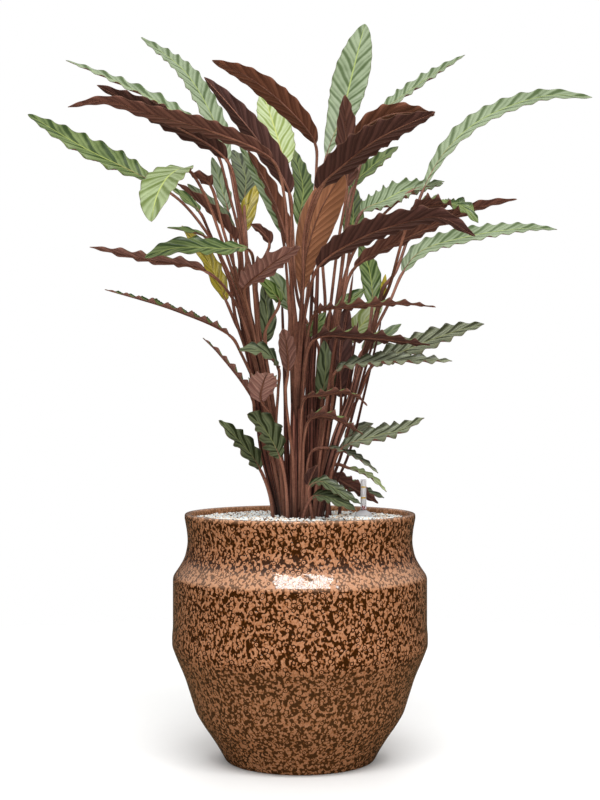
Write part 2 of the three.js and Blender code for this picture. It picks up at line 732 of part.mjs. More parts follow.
// A leaf is one sweep of six-cornered rings: round on the petiole, and a folded sheet on the blade, with
// corners at the margins and the midrib above, and the same below. The margins wave up and down.
function leafGeometry(leaf) {
  const neck = leaf.stem.length + 2;
  const places = [...leafFoot(leaf), ...leaf.stem.map(sighted), ...leaf.blade.map(sighted)];
  const curve = new THREE.CatmullRomCurve3(places, false, 'centripetal');
  const neckShare = neck / (places.length - 1);
  const stalkLength = pathLength(evenPoints(curve, 0, neckShare, 20));
  const bladeLength = pathLength(evenPoints(curve, neckShare, 1, 20));
  const stalkSteps = Math.max(3, Math.round(stalkLength / PETIOLE.step));
  const bladeSteps = BLADE.ringsPerWave * Math.round(bladeLength / BLADE.waveLength);
  const stalk = evenPoints(curve, 0, neckShare, stalkSteps);
  const midrib = evenPoints(curve, neckShare, 1, bladeSteps);
  const points = [...stalk, ...midrib.slice(1)];
  const tangents = points.map((point, number) => {
    const before = points[Math.max(0, number - 1)];
    const after = points[Math.min(points.length - 1, number + 1)];
    return after.clone().sub(before).normalize();
  });
  tangents[0] = curve.getTangent(0);
  const faceNeck = new THREE.Vector3(...leaf.face);
  const faceTip = new THREE.Vector3(...(leaf.faceTip ?? leaf.face));
  const normals = points.map((point, number) => {
    const share = Math.max(0, (number - stalkSteps) / bladeSteps);
    return faceNeck.clone().lerp(faceTip, share);
  });
  for (let number = stalkSteps - 1; number >= 0; number -= 1) {
    normals[number] = normals[number + 1].clone();
    normals[number].addScaledVector(tangents[number], -normals[number].dot(tangents[number])).normalize();
  }
  const fold = THREE.MathUtils.degToRad(leaf.fold);
  const widest = leaf.widest ?? BLADE.widest;
  const wave = Math.min(BLADE.wave, leaf.half * 0.17);
  const rings = points.map((point, number) => {
    const along = tangents[number];
    const up = normals[number].addScaledVector(along, -normals[number].dot(along)).normalize();
    const side = along.clone().cross(up);
    const place = (across, height) => point.clone().addScaledVector(side, across).addScaledVector(up, height);
    if (number < stalkSteps) {
      const radius = THREE.MathUtils.lerp(PETIOLE.foot, PETIOLE.joint, number / stalkSteps);
      return [150, 90, 30, -30, -90, -150].map((degrees) => {
        const angle = THREE.MathUtils.degToRad(degrees);
        return place(Math.cos(angle) * radius, Math.sin(angle) * radius);
      });
    }
    const share = (number - stalkSteps) / bladeSteps;
    const width = bladeWidth(share, widest);
    const half = Math.max(leaf.half * width, share < 0.5 ? BLADE.neck : BLADE.tip);
    const swing = wave * width * ((number - stalkSteps) % 2 ? 1 : -1);
    const sheet = BLADE.sheet / 2;
    const keel = sheet + BLADE.keel * (1 - share);
    const across = half * Math.cos(fold);
    const lift = half * Math.sin(fold);
    return [
      place(-across, lift + swing + sheet),
      place(0, sheet),
      place(across, lift - swing + sheet),
      place(across, lift - swing - sheet),
      place(0, -keel),
      place(-across, lift + swing - sheet),
    ];
  });
  return skin(rings);
}

add('planter', planter(), MATERIALS.glaze);
add('clay_pebbles', pebbles(), MATERIALS.clay);
add('culture_pot', culturePot(), MATERIALS.culturePot);
add('root_ball', rootBall(), MATERIALS.roots);

const stemHoles = [];
for (const [name, shoot] of Object.entries(SHOOTS)) {
  add(`shoot_${name}`, skin(shootRings(shoot, 0)), MATERIALS.sheath);
  stemHoles.push(toSolid(skin(shootRings(shoot, GAP))));
}
for (const [name, leaf] of Object.entries(LEAVES)) {
  const greenShows = leaf.face[1] < 0;
  add(name, leafGeometry(leaf), greenShows ? MATERIALS.green : MATERIALS.maroon);
  if (leaf.ground) {
    const [x, y] = leaf.ground;
    stemHoles.push(plainHole(PETIOLE.foot + PETIOLE.play, PETIOLE.sides, x, y));
  }
}

add('granulate', dressing(stemHoles), MATERIALS.granulate);
add('gauge_tube', gaugeTube(), MATERIALS.gauge);
add('gauge_float', gaugeFloat(), MATERIALS.float);

export default plant;
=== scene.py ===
"""A velvet prayer plant with long wavy leaves, in a round planter with a mottled brown glaze.

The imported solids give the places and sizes. The planter, its dressing, the water gauge, the shoots and
every leaf are built here as fine meshes on the same lines as their solids, and the hidden fill keeps its
solids and gets finishes. Tables and shapes are in millimetres, +Z up, -Y to the front, and MM turns them
into metres when a mesh is made. Finishes, lamps and the camera are in metres.
"""

import logging
import math
import random
from dataclasses import dataclass, field, replace
from enum import Enum
from typing import Optional, Sequence, Union

import bpy
import numpy as np
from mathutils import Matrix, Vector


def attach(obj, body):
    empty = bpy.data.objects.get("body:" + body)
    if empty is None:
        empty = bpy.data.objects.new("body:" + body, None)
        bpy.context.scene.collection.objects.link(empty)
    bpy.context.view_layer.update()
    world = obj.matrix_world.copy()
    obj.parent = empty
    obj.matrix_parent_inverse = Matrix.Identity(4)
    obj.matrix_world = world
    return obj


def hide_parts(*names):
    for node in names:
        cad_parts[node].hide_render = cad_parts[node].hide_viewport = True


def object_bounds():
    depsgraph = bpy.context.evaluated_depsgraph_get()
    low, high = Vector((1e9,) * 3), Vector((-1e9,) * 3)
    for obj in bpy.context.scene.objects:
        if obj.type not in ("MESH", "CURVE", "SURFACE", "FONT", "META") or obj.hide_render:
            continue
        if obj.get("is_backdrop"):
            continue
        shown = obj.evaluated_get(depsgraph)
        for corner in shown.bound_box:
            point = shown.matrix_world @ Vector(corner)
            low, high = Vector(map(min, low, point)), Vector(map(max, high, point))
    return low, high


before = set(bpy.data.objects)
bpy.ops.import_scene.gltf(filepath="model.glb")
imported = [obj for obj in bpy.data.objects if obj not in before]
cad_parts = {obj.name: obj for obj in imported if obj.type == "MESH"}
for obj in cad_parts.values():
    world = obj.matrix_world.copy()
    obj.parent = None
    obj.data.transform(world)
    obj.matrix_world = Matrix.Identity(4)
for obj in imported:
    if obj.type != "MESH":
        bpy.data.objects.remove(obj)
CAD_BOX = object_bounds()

LOG = logging.getLogger("prayer_plant")
MM = 0.001
FULL_TURN = 2 * math.pi

Place = tuple[float, float, float]
Colour = tuple[float, float, float, float]
Span = tuple[float, float]
Socket = bpy.types.NodeSocket
Sockets = bpy.types.bpy_prop_collection
Material = bpy.types.Material
Piece = bpy.types.Object
Feed = Union[float, Colour, Place, Socket]


def rgb(red: int, green: int, blue: int) -> Colour:
    """A display colour as the linear colour that shaders take.

    Args:
        red, green, blue: the display colour, from 0 to 255 each.

    Returns:
        The linear colour with full alpha.
    """
    shares = [channel / 255 for channel in (red, green, blue)]
    linear = [share / 12.92 if share <= 0.04045 else ((share + 0.055) / 1.055) ** 2.4 for share in shares]
    return (*linear, 1.0)


# Shader writing


class NodeWriter:
    """Short ways to add nodes to a material's or a group's tree and join them."""

    def __init__(self, tree: bpy.types.NodeTree) -> None:
        """Starts writing in the tree given."""
        self.tree = tree

    def add(self, kind: str, feeds: Optional[dict[Union[str, int], Feed]] = None, **settings) -> bpy.types.Node:
        """Adds a node.

        Args:
            kind: the node's type.
            feeds: what goes into its inputs, by name or number.
            settings: its properties.

        Returns:
            The new node.
        """
        node = self.tree.nodes.new(kind)
        for name, value in settings.items():
            setattr(node, name, value)
        for key, value in (feeds or {}).items():
            self.feed(node.inputs[key], value)
        return node

    def feed(self, socket: Socket, value: Feed) -> None:
        """Joins an output to the socket, or sets the socket to a plain value.

        Args:
            socket: the input.
            value: an output socket, a number, a colour or a vector.
        """
        if isinstance(value, Socket):
            self.tree.links.new(value, socket)
        else:
            socket.default_value = value

    def math(self, operation: str, first: Feed, second: Feed = 0.0, clamp: bool = False) -> Socket:
        """The result of one sum on two numbers.

        Args:
            operation: the sum's name.
            first, second: the numbers.
            clamp: whether the result is kept from 0 to 1.

        Returns:
            The output that holds the result.
        """
        return self.add("ShaderNodeMath", {0: first, 1: second}, operation=operation, use_clamp=clamp).outputs[0]

    def plus(self, first: Feed, second: Feed) -> Socket:
        """The output that holds the sum of two numbers."""
        return self.math("ADD", first, second)

    def times(self, first: Feed, second: Feed) -> Socket:
        """The output that holds the product of two numbers."""
        return self.math("MULTIPLY", first, second)

    def sway(self, value: Feed, noise: Feed, amount: Feed) -> Socket:
        """A value moved up and down by a noise round 0.5.

        Args:
            value: the value.
            noise: the noise.
            amount: how far 1 of the noise moves it.

        Returns:
            The output that holds the moved value.
        """
        return self.plus(value, self.times(self.math("SUBTRACT", noise, 0.5), amount))

    def mix(self, share: Feed, first: Feed, second: Feed) -> Socket:
        """A colour between two colours.

        Args:
            share: 0 for the first colour, 1 for the second.
            first, second: the colours.

        Returns:
            The output that holds the colour.
        """
        return self.add("ShaderNodeMix", {0: share, 6: first, 7: second}, data_type="RGBA").outputs[2]

    def layers(self, face: Feed, masks: Sockets, coats: dict[str, tuple[Feed, Colour]]) -> Socket:
        """A colour with further colours laid over it, each through a mask.

        Args:
            face: the colour below.
            masks: a group's outputs.
            coats: how much of each mask shows, and its colour, from the lowest up.

        Returns:
            The output that holds the colour.
        """
        for mask, (share, colour) in coats.items():
            face = self.mix(self.times(masks[mask], share), face, colour)
        return face

    def ease(self, value: Feed, low: float, high: float, start: float = 0.0, end: float = 1.0) -> Socket:
        """A smooth step of a value.

        Args:
            value: the value.
            low, high: where the step starts and ends.
            start, end: what it gives below and above.

        Returns:
            The output that holds the step.
        """
        feeds = {0: value, 1: low, 2: high, 3: start, 4: end}
        return self.add("ShaderNodeMapRange", feeds, interpolation_type="SMOOTHSTEP").outputs[0]

    def band(self, value: Feed, rise: Span, fall: Span) -> Socket:
        """A mask that is 1 over part of a value's range.

        Args:
            value: the value.
            rise, fall: where the mask grows to 1, and where it falls back to 0.

        Returns:
            The output that holds the mask.
        """
        return self.times(self.ease(value, *rise), self.ease(value, *fall, 1.0, 0.0))

    def noise(self, vector: Feed, scale: Feed, detail: float = 3.0, rough: float = 0.55) -> Socket:
        """Smooth noise.

        Args:
            vector: where it is read.
            scale: its waves in a metre.
            detail: how many finer layers it has.
            rough: how strong they are.

        Returns:
            The output that holds the noise, from 0 to 1.
        """
        feeds = {"Vector": vector, "Scale": scale, "Detail": detail, "Roughness": rough}
        return self.add("ShaderNodeTexNoise", feeds).outputs["Fac"]

    def cells(self, vector: Feed, scale: Feed) -> Sockets:
        """The outputs of a pattern of cells, read at a vector, with so many cells in a metre."""
        return self.add("ShaderNodeTexVoronoi", {"Vector": vector, "Scale": scale}).outputs

    def place(self) -> Socket:
        """The output that holds the place on the object, in metres."""
        return self.add("ShaderNodeTexCoord").outputs["Object"]

    def height(self, vector: Feed) -> Socket:
        """The output that holds a vector's upright part."""
        return self.add("ShaderNodeSeparateXYZ", {0: vector}).outputs[2]

    def stretch(self, vector: Feed, factors: Place) -> Socket:
        """The output that holds a vector with each part multiplied."""
        return self.add("ShaderNodeVectorMath", {0: vector, 1: factors}, operation="MULTIPLY").outputs[0]

    def reach(self, vector: Feed) -> Socket:
        """The output that holds a vector's length."""
        return self.add("ShaderNodeVectorMath", {0: vector}, operation="LENGTH").outputs["Value"]

    def uv(self, layer: str) -> tuple[Socket, Socket]:
        """The coordinates of a UV layer.

        Args:
            layer: its name.

        Returns:
            The two outputs that hold them.
        """
        node = self.add("ShaderNodeUVMap", uv_map=layer)
        parts = self.add("ShaderNodeSeparateXYZ", {0: node.outputs[0]}).outputs
        return parts[0], parts[1]

    def group(self, tree: bpy.types.NodeTree, **feeds: Feed) -> Sockets:
        """Places a shader group.

        Args:
            tree: the group.
            feeds: what goes into its inputs.

        Returns:
            The outputs of the group's node.
        """
        node = self.tree.nodes.new("ShaderNodeGroup")
        node.node_tree = tree
        for name, value in feeds.items():
            self.feed(node.inputs[name], value)
        return node.outputs

    def bump(self, height: Feed, depth: float, strength: float) -> Socket:
        """A normal that is bent by a height.

        Args:
            height: the height, from 0 to 1.
            depth: how deep 1 is, in metres.
            strength: how much of it shows.

        Returns:
            The output that holds the normal.
        """
        feeds = {"Height": height, "Distance": depth, "Strength": strength}
        return self.add("ShaderNodeBump", feeds).outputs[0]


class GroupLibrary:
    """The effects that more than one finish uses, each built once as a shader group."""

    def __init__(self) -> None:
        """Builds the groups."""
        self.ribs = self._ribs()
        self.drift = self._drift()
        self.streaks = self._streaks()
        self.grit = self._grit()

    @staticmethod
    def _start(name: str, inputs: dict[str, float], outputs: Sequence[str]) -> tuple[NodeWriter, dict, dict]:
        """Starts a group with number sockets.

        Args:
            name: the group's name.
            inputs: its inputs and what they are when nothing is fed.
            outputs: its outputs.

        Returns:
            A writer in the group, its inputs by name, and its output sockets by name.
        """
        tree = bpy.data.node_groups.new(name, "ShaderNodeTree")
        for label, value in inputs.items():
            socket = tree.interface.new_socket(name=label, in_out="INPUT", socket_type="NodeSocketFloat")
            socket.default_value = value
        for label in outputs:
            tree.interface.new_socket(name=label, in_out="OUTPUT", socket_type="NodeSocketFloat")
        write = NodeWriter(tree)
        entry, leave = write.add("NodeGroupInput"), write.add("NodeGroupOutput")
        given = {label: entry.outputs[label] for label in inputs}
        return write, given, {label: leave.inputs[label] for label in outputs}

    def _ribs(self) -> bpy.types.NodeTree:
        """The ribs of a blade: fine veins, the folds and ridges of its pleats, its midrib and its margin.

        Returns:
            The group.
        """
        write, taken, given = self._start(
            "blade_ribs", {"Veins": 6.0, "Wander": 0.3, "Midrib": 0.06, "Margin": 0.97},
            ("Vein", "Fold", "Ridge", "Midrib", "Margin"),
        )
        wave, across = write.uv("ribs")
        place = write.place()
        turn = write.times(write.sway(wave, write.noise(place, 34.0, 2.0), taken["Wander"]), FULL_TURN)
        double = write.times(turn, 2.0)
        vein = write.math("COSINE", write.times(turn, taken["Veins"]))
        write.feed(given["Vein"], write.ease(vein, 0.35, 1.0))
        strength = write.ease(write.noise(place, 60.0, 1.0), 0.32, 0.62, 0.25, 1.0)
        fold = write.ease(write.math("COSINE", double), 0.62, 1.0)
        write.feed(given["Fold"], write.times(fold, strength))
        first = write.times(write.math("COSINE", write.plus(turn, 2.4)), 0.22)
        second = write.times(write.math("COSINE", write.plus(double, 2.2)), 0.2)
        write.feed(given["Ridge"], write.plus(write.plus(first, second), 0.5))
        midrib = write.math("SUBTRACT", 1.0, write.math("DIVIDE", across, taken["Midrib"]), clamp=True)
        write.feed(given["Midrib"], write.ease(midrib, 0.0, 0.75))
        margin = write.math("SUBTRACT", across, taken["Margin"])
        write.feed(given["Margin"], write.ease(margin, 0.0, 0.02))
        return write.tree

    def _drift(self) -> bpy.types.NodeTree:
        """Broad and fine unevenness of a surface, round 0.5.

        Returns:
            The group.
        """
        write, taken, given = self._start("drift", {"Broad": 9.0, "Fine": 160.0, "Balance": 0.35}, ("Drift",))
        place = write.place()
        broad = write.noise(place, taken["Broad"], 2.0)
        spread = write.math("SUBTRACT", write.noise(place, taken["Fine"]), broad)
        write.feed(given["Drift"], write.plus(broad, write.times(spread, taken["Balance"])))
        return write.tree

    def _streaks(self) -> bpy.types.NodeTree:
        """Fine lengthwise streaks and grooves on a stalk, read from its UV layer.

        Returns:
            The group.
        """
        write, taken, given = self._start("streaks", {"Around": 9.0, "Along": 3.0}, ("Streak", "Groove"))
        around, along = write.uv("map")
        angle = write.times(around, FULL_TURN)
        stretched = write.add("ShaderNodeCombineXYZ", {
            0: write.times(write.math("COSINE", angle), taken["Around"]),
            1: write.times(write.math("SINE", angle), taken["Around"]),
            2: write.times(along, taken["Along"]),
        }).outputs[0]
        write.feed(given["Streak"], write.ease(write.noise(stretched, 1.0, 4.0, 0.6), 0.28, 0.72))
        write.feed(given["Groove"], write.ease(write.noise(stretched, 0.45, 1.0, 0.4), 0.3, 0.62))
        return write.tree

    def _grit(self) -> bpy.types.NodeTree:
        """Small pits and grains, as a height.

        Returns:
            The group.
        """
        write, taken, given = self._start("grit", {"Scale": 900.0, "Pits": 260.0}, ("Height",))
        place = write.place()
        pit = write.ease(write.cells(place, taken["Pits"])["Distance"], 0.05, 0.4)
        write.feed(given["Height"], write.times(write.plus(write.noise(place, taken["Scale"]), pit), 0.5))
        return write.tree


# Finishes


@dataclass(frozen=True)
class Finish:
    """A material, made of what feeds its shader. Depths and heights are in metres."""

    name: str

    def sockets(self, write: NodeWriter, groups: GroupLibrary) -> dict[str, Feed]:
        """What feeds the shader.

        Args:
            write: the writer in the material's tree.
            groups: the shared shader groups.

        Returns:
            The values and outputs, by the shader's socket.
        """
        raise NotImplementedError

    def build(self, groups: GroupLibrary) -> Material:
        """Builds the material.

        Args:
            groups: the shared shader groups.

        Returns:
            The material.
        """
        material = bpy.data.materials.new(self.name)
        material.use_nodes = True
        write = NodeWriter(material.node_tree)
        shader = material.node_tree.nodes["Principled BSDF"]
        for name, value in self.sockets(write, groups).items():
            write.feed(shader.inputs[name], value)
        return material


@dataclass(frozen=True)
class UpperFace(Finish):
    """The leaf's upper face: silvery ridges between darker pleats, a yellow green midrib. The light and dark of the
    pleats is partly the leaf's own banding and partly painted highlight and painted shade.
    """

    light: Colour
    dark: Colour
    midrib: Colour
    margin: Colour = rgb(96, 76, 48)
    folds: float = 0.14
    low: float = 0.14
    high: float = 0.9
    patchiness: float = 1.2
    relief: float = 0.0012

    def sockets(self, write: NodeWriter, groups: GroupLibrary) -> dict[str, Feed]:
        """What feeds the shader.

        Args:
            write: the writer in the material's tree.
            groups: the shared shader groups.

        Returns:
            The values and outputs, by the shader's socket.
        """
        ribs = write.group(groups.ribs, Veins=4.0)
        drift = write.group(groups.drift, Broad=14.0, Fine=48.0)["Drift"]
        # The ridge mix paints highlight on the pleats' ridges and shade in their folds, over the leaf's own banding;
        # the Fold layer adds painted shade in the grooves.
        ridge = write.sway(ribs["Ridge"], drift, self.patchiness)
        face = write.mix(write.ease(ridge, self.low, self.high), self.dark, self.light)
        height = write.math("SUBTRACT", ribs["Ridge"], write.times(ribs["Fold"], 0.2))
        return {
            "Base Color": write.layers(face, ribs, {
                "Fold": (self.folds, self.dark), "Vein": (0.13, self.dark), "Margin": (0.7, self.margin),
                "Midrib": (0.85, self.midrib),
            }),
            "Roughness": write.ease(drift, 0.25, 0.75, 0.3, 0.46), "Normal": write.bump(height, self.relief, 0.7),
            "Specular IOR Level": 0.3, "Diffuse Roughness": 0.3, "Sheen Weight": 0.03, "Sheen Roughness": 0.45,
        }


@dataclass(frozen=True)
class UnderFace(Finish):
    """The leaf's underside: a matt velvet nap with raised paler ribs. Its ridges and valleys carry painted sheen and
    painted shade over its own tones.
    """

    base: Colour = rgb(116, 76, 65)
    # deep: the valleys' tone, partly painted shade
    deep: Colour = rgb(76, 46, 40)
    rib: Colour = rgb(142, 102, 91)
    edge: Colour = rgb(128, 94, 70)
    nap: float = 0.22
    nap_tint: Colour = rgb(206, 172, 168)
    lines: float = 0.12
    patchiness: float = 0.8
    relief: float = 0.0015

    def sockets(self, write: NodeWriter, groups: GroupLibrary) -> dict[str, Feed]:
        """What feeds the shader.

        Args:
            write: the writer in the material's tree.
            groups: the shared shader groups.

        Returns:
            The values and outputs, by the shader's socket.
        """
        ribs = write.group(groups.ribs, Midrib=0.05)
        drift = write.group(groups.drift, Broad=14.0, Fine=420.0)["Drift"]
        # Painted sheen on the ridges and painted shade in the valleys: the ridge mix runs from deep to base.
        ridge = write.sway(write.math("SUBTRACT", 1.0, ribs["Ridge"]), drift, self.patchiness)
        face = write.mix(write.ease(ridge, 0.05, 0.9), self.deep, self.base)
        height = write.plus(write.plus(ridge, write.times(ribs["Fold"], 0.3)), write.times(ribs["Vein"], 0.12))
        return {
            "Base Color": write.layers(face, ribs, {
                "Vein": (0.1, self.rib), "Fold": (self.lines, self.rib), "Midrib": (0.7, self.rib),
                "Margin": (0.4, self.edge),
            }),
            "Roughness": write.ease(drift, 0.25, 0.75, 0.55, 0.75), "Normal": write.bump(height, self.relief, 0.8),
            "Specular IOR Level": 0.24, "Diffuse Roughness": 0.7, "Sheen Weight": self.nap,
            "Sheen Roughness": 0.4, "Sheen Tint": self.nap_tint,
        }


@dataclass(frozen=True)
class StalkFinish(Finish):
    """Petioles and sheaths: satin maroon brown with paler and darker lengthwise streaks. The paler streaks are partly
    painted highlights, and painted shade darkens the foot and the grooves between the sheaths.
    """

    base: Colour = rgb(82, 40, 32)
    deep: Colour = rgb(26, 11, 8)
    light: Colour = rgb(196, 138, 114)
    around: float = 5.0
    along: float = 0.02
    groove_depth: float = 0.0006
    seam_shade: float = 0.0
    shade: float = 0.65
    shade_reach: float = 90.0

    def sockets(self, write: NodeWriter, groups: GroupLibrary) -> dict[str, Feed]:
        """What feeds the shader.

        Args:
            write: the writer in the material's tree.
            groups: the shared shader groups.

        Returns:
            The values and outputs, by the shader's socket.
        """
        streaks = write.group(groups.streaks, Around=self.around, Along=self.along)
        drift = write.group(groups.drift, Broad=11.0, Fine=300.0)["Drift"]
        (wave, _), (_, reach) = write.uv("ribs"), write.uv("map")
        seam_shade = write.math("ABSOLUTE", write.math("COSINE", write.times(wave, math.pi)))
        face = write.mix(streaks["Groove"], self.deep, self.base)
        # The paler streaks are partly the stalks' own streaks and partly painted highlights.
        face = write.layers(face, streaks, {"Streak": (write.ease(drift, 0.35, 0.65, 0.3, 1.0), self.light)})
        # Painted shade: darker towards the foot, where the clump keeps the light off.
        face = write.mix(write.ease(reach, 0.0, self.shade_reach, self.shade, 0.0), face, self.deep)
        # Painted shade in the grooves between the sheaths' lobes, laid over their dark joints.
        face = write.mix(write.ease(seam_shade, 0.1, 0.62, self.seam_shade, 0.0), face, self.deep)
        height = write.plus(streaks["Groove"], write.times(streaks["Streak"], 0.4))
        return {
            "Base Color": face, "Roughness": write.ease(streaks["Streak"], 0.0, 1.0, 0.5, 0.32),
            "Normal": write.bump(height, self.groove_depth, 0.8), "Specular IOR Level": 0.3,
        }


@dataclass(frozen=True)
class Glaze(Finish):
    """A thick glossy glaze that has crawled into tan islands and rings on dark brown. It is paler where it thins over
    the rim; on the sloping shoulder and on the inner wall below the rim the paler colour is painted light.
    """

    brown: Colour = rgb(52, 25, 2)
    rust: Colour = rgb(118, 68, 28)
    tan: Colour = rgb(160, 106, 70)
    pale: Colour = rgb(188, 137, 104)
    bare_and_lit: Colour = rgb(206, 156, 120)
    inner: Colour = rgb(224, 158, 108)
    dull: Colour = rgb(116, 88, 60)
    blob: float = 0.0048
    spot: float = 0.0092
    lit_slope: Span = (0.301, 0.318)
    rim: Span = (0.3955, 0.4035)
    inner_low: float = 0.385
    inner_radius: float = 0.184
    belly: Span = (0.165, 0.185)
    relief: float = 0.0009

    def sockets(self, write: NodeWriter, groups: GroupLibrary) -> dict[str, Feed]:
        """What feeds the shader.

        Args:
            write: the writer in the material's tree.
            groups: the shared shader groups.

        Returns:
            The values and outputs, by the shader's socket.
        """
        place = write.place()
        height = write.height(place)
        fleck = write.noise(place, 1.7 / self.blob, 2.0)
        # Painted light: the sloping shoulder faces up to the key lamp and is made paler, with more tan islands.
        lit_slope = write.band(height, (self.lit_slope[0] - 0.004, self.lit_slope[0]), (self.lit_slope[1], self.lit_slope[1] + 0.012))
        ragged = write.sway(self._crawl(write, place), fleck, 0.07)
        ragged = write.plus(ragged, write.times(lit_slope, 0.035))
        rust = write.mix(write.ease(fleck, 0.4, 0.62), self.rust, self.brown)
        face = write.mix(write.ease(ragged, 0.43, 0.5), self.brown, rust)
        island = write.ease(ragged, 0.48, 0.55)
        face = write.mix(island, face, write.mix(write.ease(fleck, 0.34, 0.66), self.tan, self.pale))
        # Paler where the glaze thins over the rim, plus painted light on the sloping shoulder.
        bare_and_lit = write.plus(write.ease(height, *self.rim, 0.0, 0.72), write.times(lit_slope, 0.45))
        face = write.mix(write.times(bare_and_lit, write.ease(island, 0.0, 1.0, 0.4, 1.0)), face, self.bare_and_lit)
        # Painted light: the inner wall below the rim is made paler, as little light reaches it.
        radius = write.reach(write.stretch(place, (1.0, 1.0, 0.0)))
        inner = write.times(write.ease(height, self.inner_low, self.inner_low + 0.006, 0.0, 0.3),
                            write.ease(radius, self.inner_radius, self.inner_radius + 0.004, 1.0, 0.0))
        face = write.mix(inner, face, self.inner)
        swell = write.noise(place, 46.0, 2.0, 0.4)
        normal = write.bump(write.plus(write.times(island, 0.4), write.times(swell, 2.2)), self.relief, 0.7)
        return {
            "Base Color": write.mix(write.ease(height, *self.belly, 0.17, 0.0), face, self.dull),
            "Roughness": write.ease(island, 0.0, 1.0, 0.16, 0.3), "Normal": normal, "Specular IOR Level": 0.12,
            "Coat Weight": 1.0, "Coat Roughness": 0.05, "Coat IOR": 1.5, "Coat Normal": normal,
        }

    def _crawl(self, write: NodeWriter, place: Socket) -> Socket:
        """Where the glaze has drawn together: winding islands, and rings with a dark eye.

        Args:
            write: the writer in the material's tree.
            place: where it is read.

        Returns:
            The output that holds it, with the islands' edge at about 0.5.
        """
        islands = write.noise(write.stretch(place, (1.0, 1.0, 0.78)), 1 / self.blob, 1.0, 0.4)
        islands.node.inputs["Distortion"].default_value = 0.5
        cells = write.cells(place, 1 / self.spot)
        reach = cells["Distance"]
        picked = write.add("ShaderNodeSeparateColor", {0: cells["Color"]}).outputs[0]
        ring = write.plus(write.times(write.band(reach, (0.07, 0.15), (0.27, 0.37)), 0.2), 0.38)
        share = write.times(write.ease(picked, 0.52, 0.55), write.ease(reach, 0.4, 0.5, 1.0, 0.0))
        return write.plus(islands, write.times(write.math("SUBTRACT", ring, islands), share))


@dataclass(frozen=True)
class GrainFinish(Finish):
    """Loose light granulate, each grain with a colour of its own."""

    tones: tuple[tuple[float, Colour], ...] = (
        (0.0, rgb(240, 250, 252)), (0.34, rgb(255, 255, 250)), (0.62, rgb(252, 230, 202)),
        (0.76, rgb(206, 180, 154)), (0.87, rgb(118, 96, 80)), (0.95, rgb(46, 36, 30)),
    )
    dust: Colour = rgb(150, 140, 132)
    relief: float = 0.0003

    def sockets(self, write: NodeWriter, groups: GroupLibrary) -> dict[str, Feed]:
        """What feeds the shader.

        Args:
            write: the writer in the material's tree.
            groups: the shared shader groups.

        Returns:
            The values and outputs, by the shader's socket.
        """
        node = write.add("ShaderNodeValToRGB", {0: write.uv("map")[0]})
        ramp = node.color_ramp
        ramp.interpolation = "CONSTANT"
        ramp.elements.remove(ramp.elements[1])
        ramp.elements[0].color = self.tones[0][1]
        for position, colour in self.tones[1:]:
            ramp.elements.new(position).color = colour
        drift = write.group(groups.drift, Broad=350.0, Fine=1400.0, Balance=0.5)["Drift"]
        height = write.group(groups.grit, Scale=2200.0, Pits=1200.0)["Height"]
        return {
            "Base Color": write.mix(write.ease(drift, 0.35, 0.7, 0.0, 0.25), node.outputs[0], self.dust),
            "Roughness": write.ease(drift, 0.3, 0.7, 0.6, 0.85), "Normal": write.bump(height, self.relief, 0.8),
            "Specular IOR Level": 0.4,
        }


@dataclass(frozen=True)
class GrittyFinish(Finish):
    """Plain rough stuff of two tones: clay, roots and moulded pots."""

    base: Colour = rgb(140, 84, 54)
    deep: Colour = rgb(92, 52, 34)
    rough: float = 0.85
    pits: float = 260.0
    relief: float = 0.001

    def sockets(self, write: NodeWriter, groups: GroupLibrary) -> dict[str, Feed]:
        """What feeds the shader.

        Args:
            write: the writer in the material's tree.
            groups: the shared shader groups.

        Returns:
            The values and outputs, by the shader's socket.
        """
        drift = write.group(groups.drift, Broad=60.0, Fine=500.0, Balance=0.5)["Drift"]
        height = write.group(groups.grit, Pits=self.pits)["Height"]
        return {
            "Base Color": write.mix(write.ease(drift, 0.35, 0.65), self.deep, self.base),
            "Roughness": write.ease(drift, 0.3, 0.7, self.rough - 0.12, self.rough),
            "Normal": write.bump(height, self.relief, 0.8), "Specular IOR Level": 0.35,
        }


@dataclass(frozen=True)
class ClearPlastic(Finish):
    """Moulded see-through plastic, clear round the float's tip and clouded elsewhere."""

    tint: Colour = rgb(252, 252, 255)
    rough: float = 0.08
    clear: float = 0.9
    clouded: float = 0.2
    window: Span = (0.4055, 0.414)
    blur: float = 0.001

    def sockets(self, write: NodeWriter, groups: GroupLibrary) -> dict[str, Feed]:
        """What feeds the shader.

        Args:
            write: the writer in the material's tree.
            groups: the shared shader groups.

        Returns:
            The values and outputs, by the shader's socket.
        """
        rise, fall = ((edge - self.blur, edge + self.blur) for edge in self.window)
        window = write.band(write.height(write.place()), rise, fall)
        drift = write.group(groups.drift, Broad=120.0, Fine=900.0)["Drift"]
        return {
            "Base Color": self.tint, "Roughness": write.ease(drift, 0.3, 0.7, self.rough, self.rough + 0.06),
            "Normal": write.bump(drift, 0.0001, 0.3), "IOR": 1.46,
            "Transmission Weight": write.ease(window, 0.0, 1.0, self.clouded, self.clear),
        }


@dataclass(frozen=True)
class GlossPlastic(Finish):
    """Moulded opaque plastic with a slight orange peel."""

    base: Colour = rgb(196, 44, 34)
    deep: Colour = rgb(150, 28, 22)

    def sockets(self, write: NodeWriter, groups: GroupLibrary) -> dict[str, Feed]:
        """What feeds the shader.

        Args:
            write: the writer in the material's tree.
            groups: the shared shader groups.

        Returns:
            The values and outputs, by the shader's socket.
        """
        drift = write.group(groups.drift, Broad=200.0, Fine=1200.0)["Drift"]
        return {
            "Base Color": write.mix(write.ease(drift, 0.4, 0.7), self.base, self.deep),
            "Roughness": write.ease(drift, 0.3, 0.7, 0.3, 0.42),
            "Normal": write.bump(drift, 0.0001, 0.4), "Specular IOR Level": 0.5,
        }


